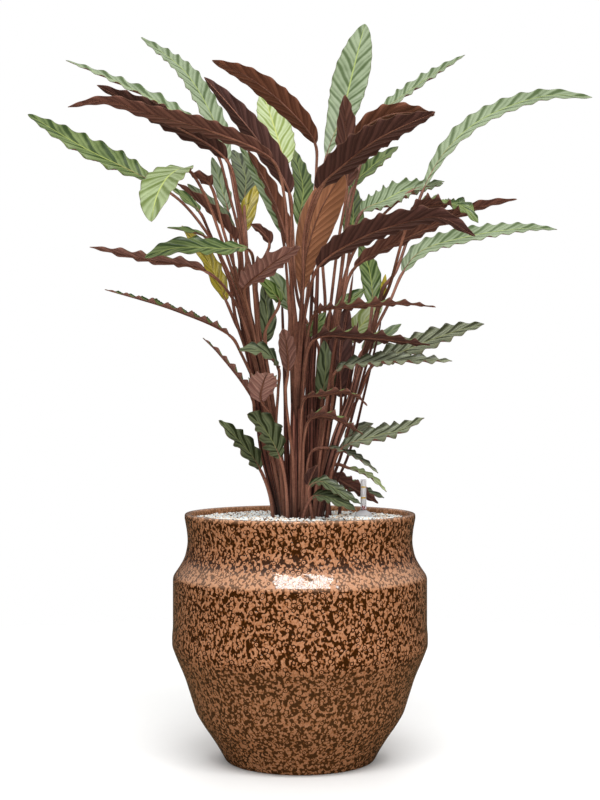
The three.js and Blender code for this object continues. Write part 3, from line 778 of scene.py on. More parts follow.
class Upper(Enum):
    """The tones of the leaves' upper faces: light, dark and midrib."""

    SILVER = UpperFace(
        "leaf_upper_silver", rgb(146, 160, 129), rgb(74, 92, 52), rgb(160, 176, 100), folds=0.1, low=0.0, high=0.92)
    GREEN = UpperFace("leaf_upper_green", rgb(114, 130, 77), rgb(40, 62, 10), rgb(150, 162, 84))
    OLIVE = UpperFace("leaf_upper_olive", rgb(142, 148, 122), rgb(56, 60, 38), rgb(146, 152, 100))
    DARK = UpperFace("leaf_upper_dark", rgb(106, 116, 84), rgb(38, 46, 22), rgb(124, 132, 82))
    PALE = UpperFace(
        "leaf_upper_pale", rgb(152, 166, 124), rgb(90, 106, 46), rgb(176, 188, 104), folds=0.06, low=-0.1)
    LIME = UpperFace(
        "leaf_upper_lime", rgb(190, 202, 160), rgb(132, 148, 76), rgb(192, 198, 112), folds=0.06, low=0.1)
    YELLOW = UpperFace("leaf_upper_yellow", rgb(176, 160, 54), rgb(124, 112, 22), rgb(196, 178, 92))


class Under(Enum):
    """The tones of the leaves' undersides: nap, its depth and ribs."""

    MAROON = UnderFace("leaf_under_maroon")
    DARK = UnderFace("leaf_under_dark", rgb(86, 55, 49), rgb(58, 34, 30), rgb(112, 78, 70))
    # Mauve, and made lighter with painted light, as the low leaf that wears it lies in shade.
    MAUVE = UnderFace("leaf_under_mauve", rgb(172, 130, 122), rgb(126, 88, 81), rgb(220, 180, 168), lines=0.4)
    ROSE = UnderFace("leaf_under_rose", rgb(140, 100, 91), rgb(100, 66, 60), rgb(176, 136, 124), lines=0.4)
    BROWN = UnderFace("leaf_under_brown", rgb(120, 75, 56), rgb(88, 52, 39), rgb(146, 98, 78))
    COPPER = UnderFace(
        "leaf_under_copper", rgb(162, 110, 78), rgb(130, 84, 58), rgb(108, 64, 52), rgb(222, 160, 136), nap=0.2,
        lines=0.06)


# Meshes


class MeshDraft:
    """Vertices and faces being gathered for one piece, in millimetres."""

    def __init__(self) -> None:
        """Starts with nothing."""
        self.points: list[np.ndarray] = []
        self.faces: list[tuple[int, ...]] = []
        self.slots: list[int] = []
        self.smooth: list[bool] = []
        self.layers: dict[str, list[np.ndarray]] = {"map": [], "ribs": []}
        self.count = 0

    def sweep(
        self, rings: np.ndarray, uv: np.ndarray, ribs: Optional[np.ndarray] = None,
        slots: Union[int, Sequence[int]] = 0, smooth: Union[bool, Sequence[bool]] = True, capped: bool = True,
        backs: Optional[np.ndarray] = None,
    ) -> None:
        """Joins rings of points into a closed skin.

        Args:
            rings: the points, by ring and by side, each ring anticlockwise seen from the far end.
            uv: the map coordinates, with one more column than the rings have sides.
            ribs: the rib coordinates in the same way, or None for the map's.
            slots: the material of each side's faces, or one for all.
            smooth: whether each side's faces are smooth, or one for all.
            capped: whether the ends are closed with a face each.
            backs: whether each side lies behind another, whose diagonals its faces then share.
        """
        count, sides = rings.shape[:2]
        backs = np.zeros(sides, bool) if backs is None else backs
        layers = {"map": uv, "ribs": uv if ribs is None else ribs}
        ring, side = np.meshgrid(np.arange(count - 1), np.arange(sides), indexing="ij")
        after = (side + 1) % sides
        corners = np.stack([ring * sides + side, ring * sides + after,
                            (ring + 1) * sides + after, (ring + 1) * sides + side], axis=-1)
        corners[:, backs] = np.roll(corners[:, backs], -1, axis=-1)
        self.faces.extend(map(tuple, (corners.reshape(-1, 4) + self.count).tolist()))
        for layer, values in layers.items():
            quads = np.stack([values[:-1, :-1], values[:-1, 1:], values[1:, 1:], values[1:, :-1]], axis=2)
            quads[:, backs] = np.roll(quads[:, backs], -1, axis=2)
            self.layers[layer].append(quads.reshape(-1, 2))
        side_slots = [slots] * sides if isinstance(slots, int) else list(slots)
        side_smooth = [smooth] * sides if isinstance(smooth, bool) else list(smooth)
        self.slots.extend(side_slots * (count - 1))
        self.smooth.extend(side_smooth * (count - 1))
        if capped:
            first, last = range(sides - 1, -1, -1), range((count - 1) * sides, count * sides)
            for cap, row in ((first, 0), (last, count - 1)):
                self.faces.append(tuple(self.count + corner for corner in cap))
                for layer, values in layers.items():
                    self.layers[layer].append(np.repeat(values[row, :1], sides, axis=0))
                self.slots.append(side_slots[0])
                self.smooth.append(False)
        self.points.append(rings.reshape(-1, 3))
        self.count += count * sides

    def lumps(self, points: np.ndarray, faces: np.ndarray, tints: np.ndarray) -> None:
        """Adds many small closed shapes that share one pattern of triangles.

        Args:
            points: the corners, by lump and by corner.
            faces: the triangles of one lump.
            tints: a number from 0 to 1 for each lump, kept in the map.
        """
        lumps, corners = points.shape[:2]
        index = (np.arange(lumps) * corners)[:, None, None] + faces[None] + self.count
        self.faces.extend(map(tuple, index.reshape(-1, 3).tolist()))
        values = np.repeat(np.stack([tints, tints], axis=-1), len(faces) * 3, axis=0)
        for layer in self.layers.values():
            layer.append(values)
        self.slots.extend([0] * (lumps * len(faces)))
        self.smooth.extend([True] * (lumps * len(faces)))
        self.points.append(points.reshape(-1, 3))
        self.count += lumps * corners

    def build(self, name: str, materials: Sequence[Material]) -> Piece:
        """Makes the object.

        Args:
            name: its name.
            materials: its materials, in the order of the slots.

        Returns:
            The object, in the scene.
        """
        mesh = bpy.data.meshes.new(name)
        mesh.from_pydata((np.concatenate(self.points) * MM).tolist(), [], self.faces)
        mesh.polygons.foreach_set("material_index", self.slots)
        mesh.polygons.foreach_set("use_smooth", self.smooth)
        for layer, values in self.layers.items():
            coordinates = mesh.uv_layers.new(name=layer)
            coordinates.data.foreach_set("uv", np.concatenate(values).astype(np.float32).ravel())
        for material in materials:
            mesh.materials.append(material)
        mesh.validate()
        piece = bpy.data.objects.new(name, mesh)
        bpy.context.scene.collection.objects.link(piece)
        return piece


HALF_EDGE = 0.48  # the most of an edge that a corner's rounding takes up


def dress(piece: Piece, slot: str, *nodes: str) -> None:
    """Sets a piece on the part's one body, for the nodes that it stands for.

    Args:
        piece: the piece.
        slot: not used.
        nodes: the nodes that it replaces.
    """
    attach(piece, "root")
    if nodes:
        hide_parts(*nodes)
    LOG.info("%s: %d faces", piece.name, len(piece.data.polygons))


def turned_rings(profile: np.ndarray, sides: int, x: float = 0.0, y: float = 0.0) -> tuple[np.ndarray, np.ndarray]:
    """The rings of a turned shape.

    Args:
        profile: the outline as radius and height, up the outside first.
        sides: the points in a ring.
        x, y: the axis.

    Returns:
        The rings, and their map coordinates: turns round the axis, and millimetres along the outline.
    """
    angles = np.arange(sides) / sides * FULL_TURN
    radius, height = profile[:, 0, None], profile[:, 1, None]
    rings = np.stack([
        x + radius * np.cos(angles), y + radius * np.sin(angles), np.broadcast_to(height, (len(profile), sides)),
    ], axis=-1)
    return rings, turned_map(sides, reach_along(profile))


def reach_along(points: np.ndarray) -> np.ndarray:
    """The way along a row of points to each of them, in millimetres."""
    return np.concatenate([[0.0], np.cumsum(np.linalg.norm(np.diff(points, axis=0), axis=1))])


def turned_map(sides: int, along: np.ndarray) -> np.ndarray:
    """The map coordinates of rings with so many sides: turns round them, and the way along them."""
    return np.stack(np.meshgrid(np.linspace(0.0, 1.0, sides + 1), along), axis=-1)


def rounded_outline(corners: Sequence[Place], arc_steps: int = 5) -> np.ndarray:
    """An outline with its corners rounded off.

    Args:
        corners: radius, height and rounding of each corner.
        arc_steps: the steps in each rounding.

    Returns:
        The outline's points.
    """
    places = [np.array(corner[:2], float) for corner in corners]
    outline = [places[0]]
    for number in range(1, len(corners) - 1):
        here, back, ahead = places[number], places[number - 1], places[number + 1]
        to_back, to_ahead = back - here, ahead - here
        reach = min(corners[number][2], np.linalg.norm(to_back) * HALF_EDGE, np.linalg.norm(to_ahead) * HALF_EDGE)
        if reach <= 0:
            outline.append(here)
            continue
        start = here + to_back / np.linalg.norm(to_back) * reach
        end = here + to_ahead / np.linalg.norm(to_ahead) * reach
        for step in range(arc_steps + 1):
            t = step / arc_steps
            outline.append((1 - t) ** 2 * start + 2 * t * (1 - t) * here + t ** 2 * end)
    outline.append(places[-1])
    return np.array(outline)


def unit(vectors: np.ndarray) -> np.ndarray:
    """A vector, or several as rows, with length 1."""
    return vectors / np.linalg.norm(vectors, axis=-1, keepdims=True)


# The clump


class SmoothLine:
    """A centripetal Catmull-Rom line through places."""

    def __init__(self, places: Sequence[np.ndarray]) -> None:
        """Keeps the places, with one more at each end that continues the line.

        Args:
            places: the places, from start to end.
        """
        middle = np.asarray(places, float)
        self.places = np.vstack([2 * middle[0] - middle[1], middle, 2 * middle[-1] - middle[-2]])
        self.spans = len(middle) - 1

    def at(self, shares: Union[float, np.ndarray]) -> np.ndarray:
        """Points on the line.

        Args:
            shares: how far along, from 0 to 1, counting each stretch between places alike.

        Returns:
            The points, one for each share.
        """
        position = np.clip(np.asarray(shares, float), 0.0, 1.0) * self.spans
        step = np.minimum(position.astype(int), self.spans - 1)
        t = (position - step)[..., None]
        p0, p1, p2, p3 = (self.places[step + number] for number in range(4))
        pairs = ((p0, p1), (p1, p2), (p2, p3))
        d0, d1, d2 = (np.sqrt(np.linalg.norm(ahead - back, axis=-1, keepdims=True)) for back, ahead in pairs)
        start = ((p1 - p0) / d0 - (p2 - p0) / (d0 + d1) + (p2 - p1) / d1) * d1
        end = ((p2 - p1) / d1 - (p3 - p1) / (d1 + d2) + (p3 - p2) / d2) * d1
        return p1 + start * t + (3 * (p2 - p1) - 2 * start - end) * t ** 2 + (2 * (p1 - p2) + start + end) * t ** 3

    def even(self, start: float, end: float, spacing: float) -> np.ndarray:
        """Points at even distances along part of the line.

        Args:
            start, end: the part, from 0 to 1.
            spacing: about how far apart they are.

        Returns:
            The points.
        """
        fine = self.at(np.linspace(start, end, 400))
        reach = reach_along(fine)
        goals = np.linspace(0.0, reach[-1], max(4, math.ceil(reach[-1] / spacing)) + 1)
        return np.stack([np.interp(goals, reach, fine[:, axis]) for axis in range(3)], axis=-1)

    def direction(self, share: float) -> np.ndarray:
        """The line's direction at a share of its length."""
        return unit(self.at(min(1.0, share + 0.0001)) - self.at(max(0.0, share - 0.0001)))


@dataclass(frozen=True)
class Sight:
    """How places taken from the front become places in the clump, which flares from its crown."""

    eye_height: float = 583
    eye_distance: float = 2475
    crown: float = 403
    flare: float = 0.0015

    def place(self, seen: Place) -> np.ndarray:
        """Where a place on the plant truly is.

        Args:
            seen: the place on the upright plane through the axis, with its depth behind it.

        Returns:
            The place.
        """
        x, depth, z = seen
        flared = depth * (1 + self.flare * max(0.0, z - self.crown))
        spread = 1 + flared / self.eye_distance
        return np.array([x * spread, flared, self.eye_height + (z - self.eye_height) * spread])


SIGHT = Sight()
GAP = 0.3  # the clearance between a piece and what it stands on
ROOT_BALL_TOP = 362
DRESSING_CROWN = 395


@dataclass(frozen=True)
class Shoot:
    """A column of clasping leaf sheaths: places from the ground up, and its radius at foot and top."""

    name: str
    path: tuple[Place, ...]
    foot: float
    top: float
    ribs: int = 7
    rib_depth: float = 0.26
    foot_taper: float = 0.24
    taper_reach: float = 75.0
    sides: int = 56
    spacing: float = 6.0
    twist: float = 0.35
    flute_power: float = 0.8
    unlike: Span = (0.75, 1.2)
    closing: float = 0.035
    solid: bool = True
    # The column takes the lighter copy of the sheath finish: painted light for the highlight it catches.
    painted_lit: bool = False

    @property
    def line(self) -> SmoothLine:
        """The centre line, which stands upright in the dressing, on the root ball."""
        places = [SIGHT.place(seen) for seen in self.path]
        foot = places[0].copy()
        foot[2] = ROOT_BALL_TOP + GAP
        return SmoothLine([foot, *places])

    @staticmethod
    def across(along: np.ndarray) -> tuple[np.ndarray, np.ndarray]:
        """The directions to the shoot's right and back, where it runs along the one given."""
        right = unit(np.cross([0.0, 1.0, 0.0], along))
        return right, np.cross(along, right)

    def radius(self, share: float, bearing: float) -> float:
        """The radius of the solid shoot, which swells at each sheath's lobe.

        Args:
            share: how far up, from 0 to 1.
            bearing: the angle round the shoot.

        Returns:
            The radius.
        """
        lobe = 1 - 0.08 * (1 - abs(math.cos(1.5 * bearing)))
        return (self.foot + (self.top - self.foot) * share) * lobe

    def build(self, finish: Material) -> None:
        """Builds the fluted column of sheaths, which closes over its top.

        Args:
            finish: its material.
        """
        line = self.line
        length = np.linalg.norm(np.diff(line.at(np.linspace(0, 1, 60)), axis=0), axis=1).sum()
        count = math.ceil(length / self.spacing)
        wobble = random.Random(self.name)
        lean = [wobble.uniform(*self.unlike) for _ in range(self.ribs)]
        angles = np.arange(self.sides) / self.sides * FULL_TURN
        rings, seams = [], []
        for step in range(count + 1):
            share = step / count
            centre, along = line.at(share), line.direction(share)
            right, back = self.across(along)
            turned = angles * self.ribs + self.twist * self.ribs * share
            flute = np.abs(np.cos(turned / 2)) ** self.flute_power
            which = ((turned / FULL_TURN + 0.5).astype(int)) % self.ribs
            strength = np.array([lean[number] for number in which])
            plain = np.array([self.radius(share, angle) for angle in angles])
            closing = math.sqrt(max(0.02, min(1.0, (1 - share) / self.closing)))
            slim = 1 - self.foot_taper * math.exp(-(share * length / self.taper_reach) ** 2)
            radius = plain * (1 - self.rib_depth * strength * (1 - flute)) * closing * slim
            rings.append(centre + np.outer(np.cos(angles) * radius, right) + np.outer(np.sin(angles) * radius, back))
            seams.append(np.append(turned, turned[0] + FULL_TURN * self.ribs) / FULL_TURN)
        uv = turned_map(self.sides, np.linspace(0.0, length, count + 1))
        draft = MeshDraft()
        draft.sweep(np.array(rings), uv, np.stack([np.array(seams), uv[..., 1]], axis=-1))
        nodes = [f"shoot_{self.name}"] if self.solid else []
        dress(draft.build(f"sheath_column_{self.name}", [finish]), "sheath", *nodes)


SHOOTS = {shoot.name: shoot for shoot in (
    Shoot("centre", ((-5, -10, 403), (-5, -10, 523), (-3, -11, 631), (3, -12, 725)), 16, 9),
    Shoot("left", ((-23, 12, 403), (-38, 9, 507), (-51, 5, 589), (-69, 0, 672), (-79, -3, 718)), 11, 5, 4, painted_lit=True),
    Shoot("left_back", ((-35, 44, 403), (-60, 44, 507), (-71, 40, 589), (-85, 35, 672), (-97, 30, 725)), 10, 5, 5),
    Shoot("right_back", ((15, 40, 403), (25, 44, 507), (32, 48, 589), (42, 52, 672), (50, 54, 738)), 12, 6, 5),
    Shoot("right", ((29, 2, 403), (58, -2, 523), (83, -5, 589), (102, -6, 655), (119, -6, 705), (132, -6, 754)),
          10, 4, 5, painted_lit=True),
)}

# Stems and sheaths between the shoots, which are too slender for solids of their own
SLENDER_SHOOTS = tuple(
    Shoot(name, path, foot, top, ribs, sides=sides, solid=False)
    for name, path, foot, top, ribs, sides in (
        ("inner", ((15, 8, 403), (18, 6, 523), (20, 4, 631), (26, 0, 725), (30, -2, 830)), 10, 2.5, 5, 40),
        ("inner_left", ((-17, 24, 403), (-22, 28, 500), (-24, 32, 585), (-30, 40, 760)), 8, 2.2, 4, 32),
        ("between_left", ((-30, 30, 403), (-50, 27, 507), (-62, 24, 589), (-92, 16, 790)), 9, 2.5, 4, 32),
        ("inner_back", ((4, 34, 403), (6, 38, 507), (12, 42, 600), (22, 50, 820)), 9, 2.5, 4, 32),
        ("between_right", ((24, 24, 403), (42, 24, 507), (58, 24, 600), (88, 26, 800)), 7, 2.2, 4, 28),
        ("stem_a", ((35, -8, 403), (68, -12, 500), (96, -14, 600), (126, -14, 706)), 3.2, 2.2, 3, 16),
        ("stem_b", ((29, 14, 403), (57, 16, 500), (76, 18, 600), (96, 22, 720)), 3.4, 2.2, 3, 16),
        ("stem_c", ((38, 10, 403), (80, 14, 500), (106, 18, 600), (134, 22, 720)), 3.0, 2.0, 3, 16),
        ("stem_d", ((22, 12, 403), (38, 8, 500), (50, 4, 600), (64, 0, 715)), 3.6, 2.2, 3, 16),
    )
)


PETIOLE_FOOT = 3  # the radius that a petiole starts with
FOOT_RUN = 20  # how far it follows what it grows from


@dataclass(frozen=True)
class Leaf:
    """A leaf as its solid has it: what it grows from, the places it passes, and its blade.

    Its root is a shoot and how far up that it leaves (1 is its top), or x and y on the ground. Then come the
    petiole's places; the midrib's, from neck to tip; the way the upper face looks, and at the tip where that
    differs; half the width; and how far each half is raised, in degrees.
    """

    root: tuple[Union[str, float], float]
    stem: tuple[Place, ...]
    blade: tuple[Place, ...]
    face: Place
    half: float
    fold: float
    face_tip: Optional[Place] = None
    widest: float = 0.38
    upper: Upper = Upper.GREEN
    under: Under = Under.MAROON
    curl: float = 1.15
    ruffle: float = 0.8
    slant: float = 1.3
    wave_length: float = 30.0
    cusp: float = 0.15

    @property
    def ground(self) -> Optional[tuple[float, float]]:
        """Where it stands on the ground, or None where it grows from a shoot."""
        return None if isinstance(self.root[0], str) else self.root

    def foot(self) -> tuple[list[np.ndarray], np.ndarray]:
        """Where the petiole starts.

        Returns:
            The petiole's first two places, and the places below them that sink into what it grows from.
        """
        if self.ground:
            x, y = self.ground
            foot = np.array([x, y, ROOT_BALL_TOP + GAP])
            return [foot, np.array([x, y, DRESSING_CROWN])], np.empty((0, 3))
        name, at = self.root
        shoot = SHOOTS[name]
        line = shoot.line
        centre, along = line.at(at), line.direction(at)
        if at == 1:
            foot = centre + along * GAP * 2
            return [foot, foot + along * FOOT_RUN], line.at(np.linspace(at - 0.08, at - 0.01, 6))
        aim = SIGHT.place((*self.stem, *self.blade)[0]) - centre
        away = unit(aim - along * aim.dot(along))
        right, back = shoot.across(along)
        bearing = math.atan2(away.dot(back), away.dot(right))
        foot = centre + away * (shoot.radius(at, bearing) * 0.99 + PETIOLE_FOOT + GAP)
        shares = np.linspace(max(0.02, at - 0.2), at, 12)[:-1]
        sink = np.linspace(-1.5 * PETIOLE_FOOT, PETIOLE_FOOT + GAP, 12)[:-1]
        radii = np.array([shoot.radius(share, bearing) for share in shares]) + sink
        return [foot, foot + along * FOOT_RUN + away], line.at(shares) + away * radii[:, None]


def named(start: str, leaves: dict[int, Leaf]) -> dict[str, Leaf]:
    """Numbered leaves by name, with the name's start given."""
    return {f"{start}_{number:02}": leaf for number, leaf in leaves.items()}


LEAVES = named("leaf", {
    1: Leaf(("left_back", 0.93), ((-124, 22, 812), (-190, 8, 911)),
        ((-247, 2, 951), (-355, 14, 1005), (-449, 34, 1061)), (0.3, -0.75, 0.6), 26, 14, wave_length=38),
    2: Leaf(("left", 0.93), ((-107, -38, 787), (-132, -52, 862), (-153, -66, 919)),
        ((-182, -82, 968), (-213, -124, 962), (-236, -164, 926), (-245, -190, 884)), (-0.1, -0.6, 0.8), 33, 10,
        face_tip=(-0.35, -0.95, 0.1), widest=0.5, upper=Upper.PALE, ruffle=0.45, slant=0.9),
    3: Leaf(("left", 0.78), ((-98, 4, 772),), ((-106, -12, 852), (-153, -28, 904), (-203, -40, 947)),
        (0.6, 0.35, 0.7), 20, 22),
    4: Leaf(("left_back", 0.6), ((-72, 30, 771), (-94, 32, 853), (-106, 34, 919)),
        ((-119, 40, 985), (-144, 56, 1055), (-190, 92, 1131), (-262, 135, 1188)), (0.35, -0.85, 0.4), 22, 12,
        upper=Upper.SILVER, wave_length=36),
    5: Leaf(("left_back", 0.97), ((-99, 18, 853), (-119, 10, 936)),
        ((-140, 6, 1002), (-205, 14, 1063), (-297, 34, 1112), (-386, 56, 1150)), (0.35, -0.5, 0.75), 20, 14,
        upper=Upper.SILVER, wave_length=38),
    6: Leaf(("left", 1), ((-90, -14, 845), (-102, -20, 919)),
        ((-122, -28, 987), (-231, -48, 1055), (-335, -70, 1109)), (0.3, 0.65, 0.7), 24, 16, under=Under.DARK),
    7: Leaf(("centre", 0.78), ((-13, -38, 771), (-21, -56, 853), (-25, -64, 919)),
        ((-45, -74, 985), (-149, -92, 1035), (-247, -108, 1062), (-322, -118, 1083), (-383, -128, 1073)),
        (0.1, 0.6, 0.8), 18, 10, ruffle=0.7),
    8: Leaf(("centre", 0.9), ((-12, -30, 771), (-15, -40, 850)),
        ((-17, -46, 931), (-63, -42, 1010), (-116, -36, 1076), (-158, -30, 1122)), (0.5, 0.8, 0.35), 23, 16,
        under=Under.DARK, ruffle=0.5),
    9: Leaf(("centre", 0.84), ((-15, -18, 771),),
        ((-18, -24, 840), (-33, -22, 895), (-58, -16, 952), (-87, -10, 1002)), (0.6, 0.65, 0.35), 16, 18,
        under=Under.BROWN),
    10: Leaf(("centre", 0.93), ((13, 14, 771), (20, 12, 886), (27, 6, 970)),
        ((25, 0, 1013), (-17, -20, 1068), (-83, -45, 1121), (-145, -70, 1150)), (0.2, 0.8, 0.55), 21, 14,
        under=Under.BROWN, ruffle=0.55),
    11: Leaf(("right_back", 0.75), ((-3, 46, 754), (-13, 52, 886)),
        ((-25, 62, 977), (-41, 88, 1035), (-62, 130, 1098)), (0.1, -0.9, 0.35), 30, 12, upper=Upper.LIME),
    12: Leaf(("right_back", 0.88), ((4, 62, 800),), ((-2, 76, 878), (5, 98, 936), (-13, 140, 1007)),
        (0.25, -0.85, 0.35), 19, 14),
    13: Leaf(("left_back", 1), ((-88, 44, 820),), ((-92, 60, 911), (-90, 88, 958), (-111, 130, 1002)),
        (0.1, -0.85, 0.5), 22, 14, upper=Upper.DARK),
    14: Leaf(("left", 0.8), ((-76, -26, 771),),
        ((-83, -54, 837), (-124, -76, 839), (-206, -100, 840), (-256, -114, 824)), (0.05, -0.65, 0.75), 24, 10,
        widest=0.5, slant=1.2, ruffle=0.6),
    15: Leaf(("left", 0.72), ((-108, -14, 752),), ((-155, -20, 802), (-256, -30, 822), (-347, -42, 842)),
        (-0.1, 0.3, 0.95), 18, 12, ruffle=1.0, under=Under.ROSE),
    16: Leaf(("left", 0.52), ((-96, -20, 664),), ((-116, -30, 697), (-198, -48, 735), (-322, -72, 772)),
        (0.2, -0.06, 0.97), 17, 14, ruffle=1.4, cusp=0.7, under=Under.ROSE, wave_length=21),
    17: Leaf(("left", 0.33), ((-74, -14, 560),), ((-79, -28, 594), (-132, -46, 664), (-160, -58, 692)),
        (0.7, 0.1, 0.7), 15, 14, ruffle=1.3, under=Under.ROSE, wave_length=20),
    18: Leaf(("left_back", 0.8), ((-106, 50, 715),), ((-122, 52, 754), (-157, 58, 829), (-195, 68, 877)),
        (0.4, -0.75, 0.5), 17, 12, upper=Upper.YELLOW),
    19: Leaf(("left", 0.64), ((-84, -30, 735),), ((-91, -50, 774), (-63, -76, 801), (-33, -102, 824), (0, -124, 843)),
        (-0.35, 0.8, 0.5), 25, 12, under=Under.ROSE, slant=0.9, ruffle=0.9),
    20: Leaf(("centre", 1), (), ((2, -14, 757), (8, -16, 817), (32, -22, 898), (71, -34, 966)), (0.1, 0.97, 0.1), 36,
        34, widest=0.62, upper=Upper.PALE, under=Under.COPPER, curl=1.7, ruffle=0.2, slant=1.2),
    21: Leaf(("left", 0.6), ((-58, 16, 650),), ((-56, 16, 685), (-54, 20, 730), (-62, 26, 779)), (0.2, -0.85, 0.4),
        15, 16, upper=Upper.DARK),
    22: Leaf(("left", 0.45), ((-36, -24, 606),), ((-36, -40, 644), (-63, -56, 669), (-101, -64, 672)),
        (0.1, -0.6, 0.8), 20, 14, upper=Upper.DARK, ruffle=1.2, wave_length=22),
    23: Leaf(("centre", 0.4), ((-24, -46, 600),), ((-20, -54, 637), (-22, -86, 680), (-28, -122, 707)),
        (0, 0.65, 0.75), 14, 14, under=Under.ROSE),
    24: Leaf(("left", 0.2), ((-46, -28, 560),), ((-63, -34, 586), (-60, -90, 620), (-53, -140, 634)), (0, 0.8, 0.5),
        24, 14, under=Under.MAUVE, ruffle=0.9, slant=0.8),
    25: Leaf((-20, -38), ((-24, -40, 450),), ((-33, -48, 494), (-58, -68, 540), (-87, -92, 566)), (0.3, -0.8, 0.5),
        26, 12, widest=0.46, upper=Upper.DARK, ruffle=1.2, slant=0.9, wave_length=21),
    26: Leaf((-44, -14), ((-50, -20, 433),), ((-66, -28, 476), (-87, -40, 507), (-134, -64, 556)), (0.3, -0.75, 0.6),
        19, 12, upper=Upper.DARK, ruffle=1.2, slant=1.0, wave_length=21),
    27: Leaf(("right_back", 0.97), ((36, 58, 837), (36, 62, 919)),
        ((43, 68, 990), (69, 80, 1060), (87, 96, 1130), (107, 116, 1210)), (-0.15, -0.93, 0.3), 33, 10, widest=0.55,
        upper=Upper.SILVER, ruffle=0.4, slant=0.9),
    28: Leaf(("centre", 0.88), ((5, -34, 771), (8, -46, 870)),
        ((30, -60, 937), (74, -82, 980), (132, -108, 1023), (223, -138, 1065)), (-0.2, 0.75, 0.6), 29, 16,
        under=Under.DARK),
    29: Leaf(("right_back", 0.9), ((63, 40, 850),), ((78, 34, 942), (76, 18, 1018), (74, -4, 1093)), (0.2, 0.95, 0.2),
        23, 30, ruffle=1.3, cusp=0.4),
    30: Leaf(("right_back", 0.82), ((69, 58, 804), (83, 58, 903), (102, 62, 985)),
        ((129, 72, 1055), (198, 96, 1112), (272, 126, 1159)), (-0.35, -0.6, 0.7), 18, 14, upper=Upper.SILVER),
    31: Leaf(("right_back", 0.7), ((66, 74, 790), (74, 78, 862)), ((86, 84, 939), (120, 100, 976), (162, 124, 1008)),
        (-0.3, -0.75, 0.6), 19, 14),
    32: Leaf(("right_back", 0.55), ((70, 88, 760),), ((83, 100, 845), (88, 124, 895), (86, 158, 946)), (0, -0.9, 0.4),
        20, 14),
    33: Leaf(("right_back", 0.62), ((74, 40, 779), (86, 42, 853)),
        ((102, 46, 900), (140, 56, 919), (173, 66, 936), (236, 84, 947)), (-0.15, -0.75, 0.6), 24, 12,
        upper=Upper.SILVER, ruffle=1.15, wave_length=20),
    34: Leaf(("right", 0.88), ((148, -46, 779), (168, -76, 850)),
        ((185, -84, 895), (215, -90, 911), (268, -104, 908), (294, -112, 882)), (0, 0.85, 0.5), 18, 14,
        face_tip=(0, -0.85, 0.5), ruffle=2.0, cusp=0.7, wave_length=17),
    35: Leaf(("centre", 0.82), ((12, -44, 750),),
        ((30, -56, 809), (91, -84, 853), (173, -112, 883), (231, -128, 891), (289, -144, 860)), (-0.1, 0.65, 0.75),
        26, 14, under=Under.DARK),
    36: Leaf((22, -26), ((36, -24, 520), (46, -22, 600), (59, -22, 690), (72, -22, 759)),
        ((91, -28, 809), (190, -50, 865), (297, -70, 909), (358, -82, 921)), (-0.25, 0.55, 0.8), 20, 12),
    37: Leaf(("right", 0.75), ((149, 12, 754),),
        ((170, 22, 801), (198, 28, 834), (281, 42, 860), (380, 58, 873), (424, 66, 871)), (-0.1, -0.65, 0.75), 22, 12,
        upper=Upper.SILVER, wave_length=28, ruffle=0.7),
    38: Leaf(("right", 1), ((157, 8, 800), (182, 22, 870)),
        ((203, 32, 936), (239, 46, 999), (297, 62, 1051), (404, 84, 1091), (482, 98, 1089)), (-0.4, -0.75, 0.55), 22,
        12, widest=0.52, upper=Upper.SILVER, wave_length=37, ruffle=0.6),
    39: Leaf(("right", 0.68), (), ((119, 30, 744), (116, 52, 796), (99, 84, 848)), (0, -0.9, 0.4), 18, 16),
    40: Leaf(("centre", 0.74), (), ((24, -30, 731), (83, -62, 743), (165, -80, 748), (224, -92, 743)),
        (0, 0.25, 0.97), 16, 12, ruffle=1.8, cusp=0.8, wave_length=25),
    41: Leaf(("centre", 0.55), (), ((22, -40, 688), (99, -62, 693), (215, -90, 680)), (0, 0.45, 0.9), 18, 12,
        under=Under.DARK, ruffle=1.8, cusp=0.8, wave_length=24),
    42: Leaf(("right", 0.28), ((66, 16, 560),), ((68, 22, 594), (66, 24, 672), (78, 28, 746)), (0.3, 0.9, 0.1), 23, 8,
        under=Under.DARK, ruffle=0.5),
    43: Leaf(("right", 0.38), ((101, 4, 604),), ((119, 2, 646), (182, -8, 675), (264, -22, 705), (304, -30, 715)),
        (-0.2, -0.75, 0.6), 22, 12, ruffle=1.4, upper=Upper.OLIVE, wave_length=24),
    44: Leaf(("right", 0.22), ((54, -26, 590),), ((59, -40, 637), (132, -58, 654), (251, -82, 654)), (0, -0.5, 0.85),
        18, 12, upper=Upper.OLIVE, ruffle=1.5, wave_length=22),
    45: Leaf((44, -22), ((53, -28, 471),), ((69, -36, 510), (124, -50, 530), (165, -60, 540), (205, -70, 560)),
        (-0.1, -0.6, 0.8), 20, 12, ruffle=1.4, upper=Upper.OLIVE, wave_length=22),
    46: Leaf(("centre", 0.3), (), ((15, -34, 556), (50, -56, 562), (104, -86, 533)), (0, 0.5, 0.85), 16, 12,
        ruffle=1.9, cusp=0.8, wave_length=20),
    47: Leaf((50, 24), (), ((48, 44, 465), (80, 54, 450), (108, 60, 433), (129, 64, 419)), (0, 0.6, 0.75), 15, 12,
        ruffle=1.4, cusp=0.4, wave_length=18),
    48: Leaf((4, -48), (), ((21, -58, 430), (50, -80, 428), (91, -112, 408)), (0, -0.6, 0.75), 15, 12,
        upper=Upper.DARK, ruffle=1.3, wave_length=17),
})

